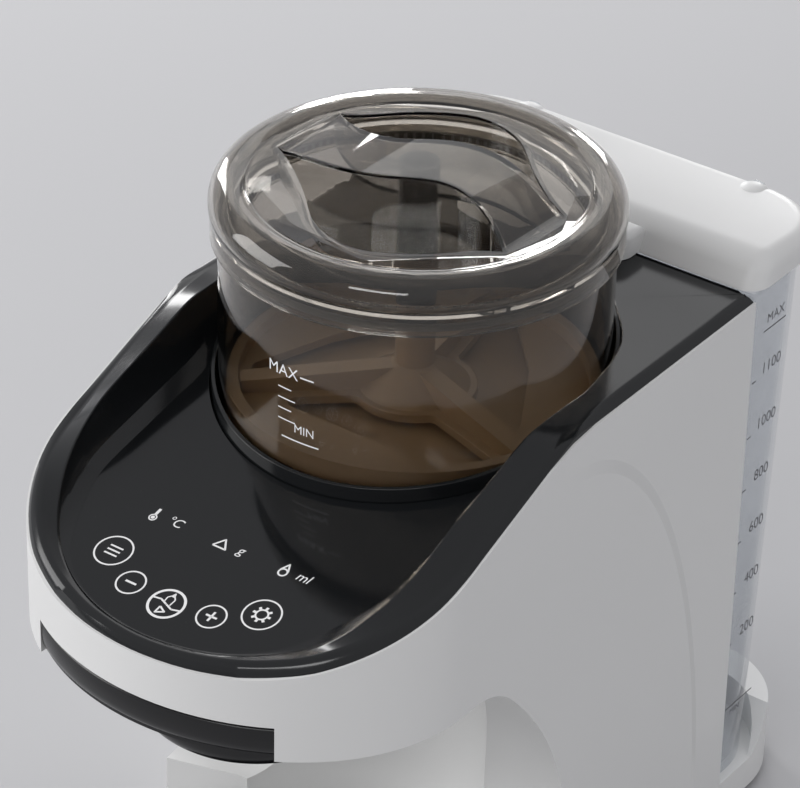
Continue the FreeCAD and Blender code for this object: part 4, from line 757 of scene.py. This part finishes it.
class OBJECT_OT_maker_tank(DressOperator, bpy.types.Operator):
    """Dresses the water tank, its valve and its lid, with the soft bumps that cover the hinge."""

    bl_idname = "object.maker_tank"
    bl_label = "Water tank"
    small = True
    nodes = ("water_tank", "hinge_pins", "valve_body", "valve_seal", "valve_spring", "valve_plunger")

    # The lid's sizes in metres. Corners and edges within front_band of its front belong to the front.
    wall = 0.0016
    crisp_angle = math.radians(50.0)
    front_band = 0.02
    foot_band = 0.005
    rear_round = 0.038
    front_round = 0.0095
    front_slant = 0.0075
    rim_round = 0.0085
    rear_fall = 0.005
    # The swelling over each hinge: centre, half axes, and the height that it is cut off at.
    hinge_centre = (0.060, 0.1746, 0.2884)
    hinge_axes = (0.0085, 0.0092, 0.0056)
    hinge_cut = 0.2850
    # The tab over the deck: its two opposite corners, and how round it is.
    tab_low = (-0.0422, 0.0968, 0.2823)
    tab_high = (0.0422, 0.1160, 0.2940)
    tab_front_band = 0.0032
    tab_corner_round = 0.010
    tab_rim_round = 0.0035

    def execute(self, context):
        super().execute(context)
        skin = self.lid_skin()
        for side in (-1.0, 1.0):
            self.swelling(skin, side)
        self.tab(skin)
        mark_crisp(skin, self.crisp_angle)
        lid = put(skin, "tank_lid_skin", "tank_cover", "white_plastic")
        thicken(lid, self.wall)
        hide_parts("tank_lid")
        return {"FINISHED"}

    def lid_skin(self):
        """A soft cover, open below: slanted front, large rear corners and a top that falls to the rear."""
        low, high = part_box("tank_lid")
        front = TANK_FRONT * MM
        behind = front + self.front_band
        bm = bmesh.new()
        self.block(bm, (low[0], front, low[2]), (high[0], high[1], (TANK_LID_BOTTOM + TANK_LID_HEIGHT) * MM))
        round_edges(bm, self.upright_edges(bm, lambda y: y > behind), self.rear_round, 14)
        for vert in bm.verts:
            if vert.co.y < behind and vert.co.z > low[2] + self.foot_band:
                vert.co.y += self.front_slant
        round_edges(bm, self.upright_edges(bm, lambda y: y < behind), self.front_round, 8)
        round_edges(bm, self.rim_edges(bm), self.rim_round, 8)
        for vert in bm.verts:
            share = (vert.co.z / MM - TANK_LID_BOTTOM) / TANK_LID_HEIGHT
            vert.co.z -= self.rear_fall * share * (vert.co.y - front) / (high[1] - front)
        self.open_below(bm)
        return bm

    def block(self, bm, low, high):
        """Adds a block between two opposite corners."""
        low, high = Vector(low), Vector(high)
        form = Matrix.Translation((low + high) * 0.5) @ Matrix.Diagonal((*(high - low), 1.0))
        bmesh.ops.create_cube(bm, size=1.0, matrix=form)

    def upright_edges(self, bm, wanted):
        """The long upright edges whose y is wanted."""
        return [edge for edge in bm.edges
                if abs(edge.verts[0].co.z - edge.verts[1].co.z) > self.foot_band
                and wanted(edge.verts[0].co.y)]

    def rim_edges(self, bm):
        """The edges round the top face."""
        top = max(vert.co.z for vert in bm.verts)
        return [edge for edge in bm.edges if min(vert.co.z for vert in edge.verts) > top - 1e-6]

    def open_below(self, bm):
        """Takes away the bottom face."""
        low = min(vert.co.z for vert in bm.verts)
        floor = [face for face in bm.faces if max(vert.co.z for vert in face.verts) < low + 1e-6]
        bmesh.ops.delete(bm, geom=floor, context="FACES")

    def add_part(self, skin, part):
        """Moves a finished part's mesh into the skin's."""
        mesh = bpy.data.meshes.new("part")
        part.to_mesh(mesh)
        part.free()
        skin.from_mesh(mesh)
        bpy.data.meshes.remove(mesh)

    def swelling(self, skin, side):
        """A low swelling over one hinge, cut off inside the skin."""
        across, back, height = self.hinge_centre
        centre = Vector((across * side, back, height))
        form = Matrix.Translation(centre) @ Matrix.Diagonal((*self.hinge_axes, 1.0))
        bm = bmesh.new()
        bmesh.ops.create_uvsphere(bm, u_segments=32, v_segments=18, radius=1.0, matrix=form)
        everything = bm.verts[:] + bm.edges[:] + bm.faces[:]
        bmesh.ops.bisect_plane(
            bm, geom=everything, plane_co=(0.0, 0.0, self.hinge_cut), plane_no=(0.0, 0.0, -1.0),
            clear_outer=True)
        self.add_part(skin, bm)

    def tab(self, skin):
        """The tab that lies over the deck behind the jar."""
        front_end = self.tab_low[1] + self.tab_front_band
        bm = bmesh.new()
        self.block(bm, self.tab_low, self.tab_high)
        round_edges(bm, self.upright_edges(bm, lambda y: y < front_end), self.tab_corner_round, 8)
        round_edges(bm, self.rim_edges(bm), self.tab_rim_round, 5)
        self.open_below(bm)
        self.add_part(skin, bm)


class OBJECT_OT_maker_tray(DressOperator, bpy.types.Operator):
    """Dresses the drip tray, its grid and the feet."""

    bl_idname = "object.maker_tray"
    bl_label = "Drip tray"
    small = True
    nodes = ("drip_tray", "drip_grid", "feet")


class Marks:
    """Flat marks drawn in millimetres on the XY plane, gathered in one mesh."""

    longest_edge = 4.0

    def __init__(self):
        self.bm = bmesh.new()

    def ring(self, radius, width, x, y):
        """A ring with its outer radius and the width of its line."""
        turn = Matrix.Translation((x, y, 0.0))
        inner = bmesh.ops.create_circle(self.bm, segments=48, radius=radius - width, matrix=turn)["verts"]
        outer = bmesh.ops.create_circle(self.bm, segments=48, radius=radius, matrix=turn)["verts"]
        edges = {edge for vert in inner + outer for edge in vert.link_edges}
        bmesh.ops.bridge_loops(self.bm, edges=list(edges))

    def dot(self, radius, x, y, sides=24):
        """A filled disc."""
        turn = Matrix.Translation((x, y, 0.0))
        bmesh.ops.create_circle(self.bm, cap_ends=True, segments=sides, radius=radius, matrix=turn)

    def bar(self, start, end, width):
        """A straight stroke with square ends."""
        start, end = Vector((*start, 0.0)), Vector((*end, 0.0))
        run = end - start
        turn = Matrix.Translation((start + end) * 0.5) @ Matrix.Rotation(math.atan2(run.y, run.x), 4, "Z")
        stretch = Matrix.Diagonal((run.length * 0.5, width * 0.5, 1.0, 1.0))
        bmesh.ops.create_grid(self.bm, x_segments=1, y_segments=1, size=1.0, matrix=turn @ stretch)

    def stroke(self, points, width):
        """A line through the points, with round turns."""
        for start, end in zip(points, points[1:]):
            self.bar(start, end, width)
        for x, y in points[1:-1]:
            self.dot(width * 0.5, x, y, 12)

    def words(self, text, size, x, y, slant=0.0):
        """Lettering set flat, made a mesh and laid at its place."""
        curve = bpy.data.curves.new("letters", "FONT")
        curve.body = text
        curve.size = size
        curve.align_x = "CENTER"
        curve.align_y = "CENTER"
        curve.resolution_u = 4
        curve.shear = slant
        holder = bpy.data.objects.new("letters", curve)
        mesh = bpy.data.meshes.new_from_object(holder)
        mesh.transform(Matrix.Translation((x, y, 0.0)))
        self.bm.from_mesh(mesh)
        bpy.data.objects.remove(holder)
        bpy.data.curves.remove(curve)
        bpy.data.meshes.remove(mesh)

    def lay(self, name, body, slot, material, place):
        """Puts every corner where place sends its flat position, and makes the piece."""
        bmesh.ops.triangulate(self.bm, faces=self.bm.faces)
        long_edges = [edge for edge in self.bm.edges if edge.calc_length() > self.longest_edge]
        bmesh.ops.subdivide_edges(self.bm, edges=long_edges, cuts=3)
        for vert in self.bm.verts:
            vert.co = place(vert.co)
        for face in self.bm.faces:
            face.smooth = True
        put(self.bm, name, body, slot, material)


def print_lift():
    """How far printed marks stand off the surface, in millimetres."""
    return sizes().print_height / MM


class OBJECT_OT_maker_marks(bpy.types.Operator):
    """Prints the keys' rings and signs on the panel, the fill lines on the jar and the scale on the tank."""

    bl_idname = "object.maker_marks"
    bl_label = "Printed marks"

    # Places on the panel, seen from above, in millimetres.
    menu_key = (-39.4, -145.9)
    gear_key = (35.7, -144.9)
    minus_key = (-21.7, -156.6)
    plus_key = (18.7, -155.6)
    start_key = (-1.5, -158.9)
    heat_sign = (-37.6, -123.0)
    key_line = 0.75
    sign_half = 2.7
    unit_size = 6.6
    unit_slant = 0.15

    # Levels on the tank, in millilitres, and the heights of their numbers.
    levels = ((1100, 239.7), (1000, 211.0), (800, 183.0), (600, 155.3), (400, 127.6), (200, 99.0))
    tick_drop = 3.4

    def execute(self, context):
        self.keys()
        self.jar_lines()
        self.tank_scale()
        return {"FINISHED"}

    def keys(self):
        """The five keys, and the three unit signs above them."""
        marks = Marks()
        for place in (self.menu_key, self.gear_key):
            marks.ring(8.4, self.key_line, *place)
        for x, y in (self.minus_key, self.plus_key):
            marks.ring(6.5, self.key_line, x, y)
            marks.bar((x - self.sign_half, y), (x + self.sign_half, y), 1.0)
        x, y = self.plus_key
        marks.bar((x, y - self.sign_half), (x, y + self.sign_half), 1.0)
        x, y = self.menu_key
        for rise in (-2.2, 0.0, 2.2):
            marks.bar((x - 3.2, y + rise), (x + 3.2, y + rise), 0.8)
        self.gear(marks, *self.gear_key)
        self.bottle_key(marks, *self.start_key)
        self.unit_signs(marks)
        lift = print_lift()

        def on_panel(flat):
            return Vector((flat.x, flat.y, panel_z(flat.y) + lift)) * MM

        # The panel's white marks glow faintly from their finish: painted light on top of the print.
        marks.lay("panel_marks", "machine", "white_plastic", "ink_white_painted_glow", on_panel)

    def unit_signs(self, marks):
        """A thermometer, a scale and a drop, each before its unit."""
        x, y = self.heat_sign
        marks.stroke([(x, y + 1.5), (x, y + 5.4)], 1.3)
        marks.ring(1.9, 0.6, x, y)
        marks.dot(0.9, x, y)
        marks.words("\u00b0C", self.unit_size, -27.5, -121.0, self.unit_slant)
        marks.stroke([(-6.2, -123.4), (-3.0, -118.6), (0.2, -123.4), (-6.2, -123.4)], 0.8)
        marks.words("g", self.unit_size, 6.5, -120.6, self.unit_slant)
        marks.ring(2.3, 0.8, 28.5, -122.0)
        marks.stroke([(26.6, -121.0), (28.5, -117.2), (30.4, -121.0)], 0.8)
        marks.words("ml", self.unit_size, 38.0, -120.6, self.unit_slant)

    def gear(self, marks, x, y):
        """A gear wheel sign."""
        marks.ring(3.0, 0.8, x, y)
        for index in range(8):
            angle = math.radians(45.0 * index)
            way = Vector((math.cos(angle), math.sin(angle)))
            marks.bar((x + 2.8 * way.x, y + 2.8 * way.y), (x + 4.3 * way.x, y + 4.3 * way.y), 1.2)

    def bottle_key(self, marks, x, y):
        """The start key: a bottle over a wave line and an arrow."""
        marks.ring(8.2, 1.15, x, y)
        marks.stroke([(x - 7.2, y + 0.6), (x - 3.6, y + 1.2), (x, y - 0.2), (x + 3.6, y - 1.6),
                      (x + 7.2, y - 0.6)], 0.8)
        marks.stroke([(x - 1.7, y + 0.6), (x - 1.9, y + 3.2), (x - 0.9, y + 4.4), (x + 0.9, y + 4.4),
                      (x + 1.9, y + 3.2), (x + 1.7, y - 0.2)], 0.6)
        marks.stroke([(x - 0.5, y + 4.6), (x, y + 6.0), (x + 0.5, y + 4.6)], 0.8)
        marks.stroke([(x - 1.4, y - 2.2), (x + 2.0, y - 4.0), (x - 1.4, y - 5.8), (x - 1.4, y - 2.2)], 0.8)

    def jar_lines(self):
        """Top and bottom fill lines with ticks between them."""
        marks = Marks()
        marks.words("MAX", 7.4, -6.6, 296.0)
        marks.bar((2.4, 296.0), (9.0, 296.0), 0.7)
        for index in range(4):
            marks.bar((-9.0, 288.0 - 5.0 * index), (-2.0 + 2.0 * (index % 2), 288.0 - 5.0 * index), 0.6)
        marks.words("MIN", 5.6, 4.4, 270.6)
        marks.bar((-7.0, 264.8), (11.5, 264.8), 0.7)
        radius = JAR_RADIUS + print_lift()

        def on_jar(flat):
            angle = math.radians(-90.0) + flat.x / radius
            return Vector((radius * math.cos(angle), JAR_Y + radius * math.sin(angle), flat.y)) * MM

        # The jar's white marks glow faintly from their finish: painted light on top of the print.
        marks.lay("jar_marks", "jar", "white_plastic", "ink_white_painted_glow", on_jar)

    def tank_scale(self):
        """Water levels on the tank's right side."""
        marks = Marks()
        for number, z in self.levels:
            marks.words(str(number), 8.0, 130.0, z)
            marks.bar((114.6, z - self.tick_drop), (117.8, z - self.tick_drop), 0.7)
        marks.words("MAX", 6.6, 130.0, 265.0)
        marks.bar((121.0, 259.6), (139.0, 259.6), 0.7)
        marks.words("MIN", 4.6, 126.0, 54.4)
        marks.bar((115.0, 58.0), (140.0, 58.0), 0.7)
        lift = print_lift()

        def on_tank(flat):
            half = TANK_HALF_FLOOR + TANK_LEAN * (flat.y - TANK_FLOOR) / TANK_WALL_HEIGHT
            return Vector((half + lift, flat.x, flat.y)) * MM

        marks.lay("tank_marks", "tank", "black_plastic", "ink_grey", on_tank)


class OBJECT_OT_maker_works(bpy.types.Operator):
    """Gives every piece inside the body its finish."""

    bl_idname = "object.maker_works"
    bl_label = "Inner works"

    def execute(self, context):
        for node, piece in frame["nodes"].items():
            if piece.hide_render:
                continue
            piece.data.materials.clear()
            piece.data.materials.append(finishes[slot_of(node)])
        return {"FINISHED"}


class OBJECT_OT_maker_stage(bpy.types.Operator):
    """Sets the floor, the soft lamps and the camera."""

    bl_idname = "object.maker_stage"
    bl_label = "Stage"

    floor_half = 8.0
    # Each lamp: name, place, width and height in metres, and power in watts. All look at one point.
    soft_lamps = (
        ("key_lamp", (-1.9, -1.15, 1.05), (1.4, 1.4), 24.0),
        ("bar_lamp", (0.47, -1.82, 1.5), (1.1, 0.3), 7.0),
        ("sky_lamp", (-1.5, 2.1, 2.0), (2.6, 0.9), 6.2),
        ("window_tall", (-2.3, 1.25, 1.0), (0.42, 1.1), 13.0),
        ("window_1", (-1.53, 1.87, 0.72), (0.3, 0.7), 7.0),
        ("window_2", (-0.91, 2.49, 0.72), (0.3, 0.7), 7.0),
    )
    lamp_aim = (0.0, 0.0, 0.22)
    sky_colour = (0.62, 0.62, 0.64, 1.0)
    sky_strength = 0.84
    # The camera: focal length and sensor in millimetres, its place in metres and its own axes.
    lens = 181.84
    sensor = 36.0
    eye = (0.83676, -1.17716, 1.16011)
    camera_axes = (
        (0.80692899, 0.59034148, 0.01904027),
        (-0.32811175, 0.4212203, 0.84552714),
        (0.4911296, -0.6885277, 0.53359285),
    )

    def execute(self, context):
        scene = context.scene
        scene.view_settings.view_transform = "Standard"
        self.floor(scene)
        for lamp in self.soft_lamps:
            self.lamp(scene, *lamp)
        self.world(scene)
        self.camera(scene)
        return {"FINISHED"}

    def floor(self, scene):
        """The pale floor that the part stands on."""
        g = Graph("floor_pale")
        colour = tuple(scene.formula_maker_colours.floor)
        cloth = g.noise(3.0, 2.0)
        g.finish(g.shell({
            "Base Color": g.blend(cloth, [c * 0.98 for c in colour], colour), "Roughness": 0.8}))
        bm = bmesh.new()
        bmesh.ops.create_grid(bm, x_segments=1, y_segments=1, size=self.floor_half)
        mesh = bpy.data.meshes.new("floor")
        bm.to_mesh(mesh)
        bm.free()
        mesh.materials.append(g.material)
        floor = bpy.data.objects.new("floor", mesh)
        scene.collection.objects.link(floor)

    def lamp(self, scene, name, place, size, power):
        """One rectangular lamp, not seen by the camera itself."""
        data = bpy.data.lights.new(name, "AREA")
        data.shape = "RECTANGLE"
        data.size, data.size_y = size
        data.energy = power
        lamp = bpy.data.objects.new(name, data)
        lamp.location = place
        aim = Vector(self.lamp_aim) - Vector(place)
        lamp.rotation_mode = "QUATERNION"
        lamp.rotation_quaternion = aim.to_track_quat("-Z", "Y")
        lamp.visible_camera = False
        scene.collection.objects.link(lamp)

    def world(self, scene):
        """An even grey surrounding."""
        world = bpy.data.worlds.new("studio")
        world.use_nodes = True
        scene.world = world
        back = world.node_tree.nodes["Background"]
        back.inputs["Color"].default_value = self.sky_colour
        back.inputs["Strength"].default_value = self.sky_strength

    def camera(self, scene):
        """A long lens from above the right front corner."""
        data = bpy.data.cameras.new("studio_camera")
        data.lens = self.lens
        data.sensor_width = self.sensor
        camera = bpy.data.objects.new("studio_camera", data)
        turn = Matrix(self.camera_axes).transposed().to_4x4()
        camera.matrix_world = Matrix.Translation(self.eye) @ turn
        scene.collection.objects.link(camera)
        scene.camera = camera


class VIEW3D_PT_maker(bpy.types.Panel):
    """Shows the sizes, the colours and one button for each step."""

    bl_label = "Formula maker"
    bl_idname = "VIEW3D_PT_maker"
    bl_space_type = "VIEW_3D"
    bl_region_type = "UI"
    bl_category = "Formula maker"

    def draw(self, context):
        for group in (context.scene.formula_maker_sizes, context.scene.formula_maker_colours):
            for name in group.bl_rna.properties.keys():
                if name not in ("rna_type", "name"):
                    self.layout.prop(group, name)
        for operator in OPERATORS:
            self.layout.operator(operator.bl_idname)


OPERATORS = (
    OBJECT_OT_maker_shells,
    OBJECT_OT_maker_deck,
    OBJECT_OT_maker_jar,
    OBJECT_OT_maker_drawer,
    OBJECT_OT_maker_tank,
    OBJECT_OT_maker_tray,
    OBJECT_OT_maker_marks,
    OBJECT_OT_maker_works,
    OBJECT_OT_maker_stage,
)
CLASSES = (FormulaMakerSizes, FormulaMakerColours, *OPERATORS, VIEW3D_PT_maker)


def register():
    """Registers the classes and puts the sizes and colours on the scene."""
    for cls in CLASSES:
        bpy.utils.register_class(cls)
    bpy.types.Scene.formula_maker_sizes = bpy.props.PointerProperty(type=FormulaMakerSizes)
    bpy.types.Scene.formula_maker_colours = bpy.props.PointerProperty(type=FormulaMakerColours)


def unregister():
    """Takes back what register did."""
    del bpy.types.Scene.formula_maker_sizes
    del bpy.types.Scene.formula_maker_colours
    for cls in reversed(CLASSES):
        bpy.utils.unregister_class(cls)


def main():
    """Builds everything in order."""
    register()
    finishes.update(make_finishes(bpy.context.scene.formula_maker_colours))
    for operator in OPERATORS:
        area, name = operator.bl_idname.split(".")
        getattr(getattr(bpy.ops, area), name)()


if __name__ == "__main__":
    main()
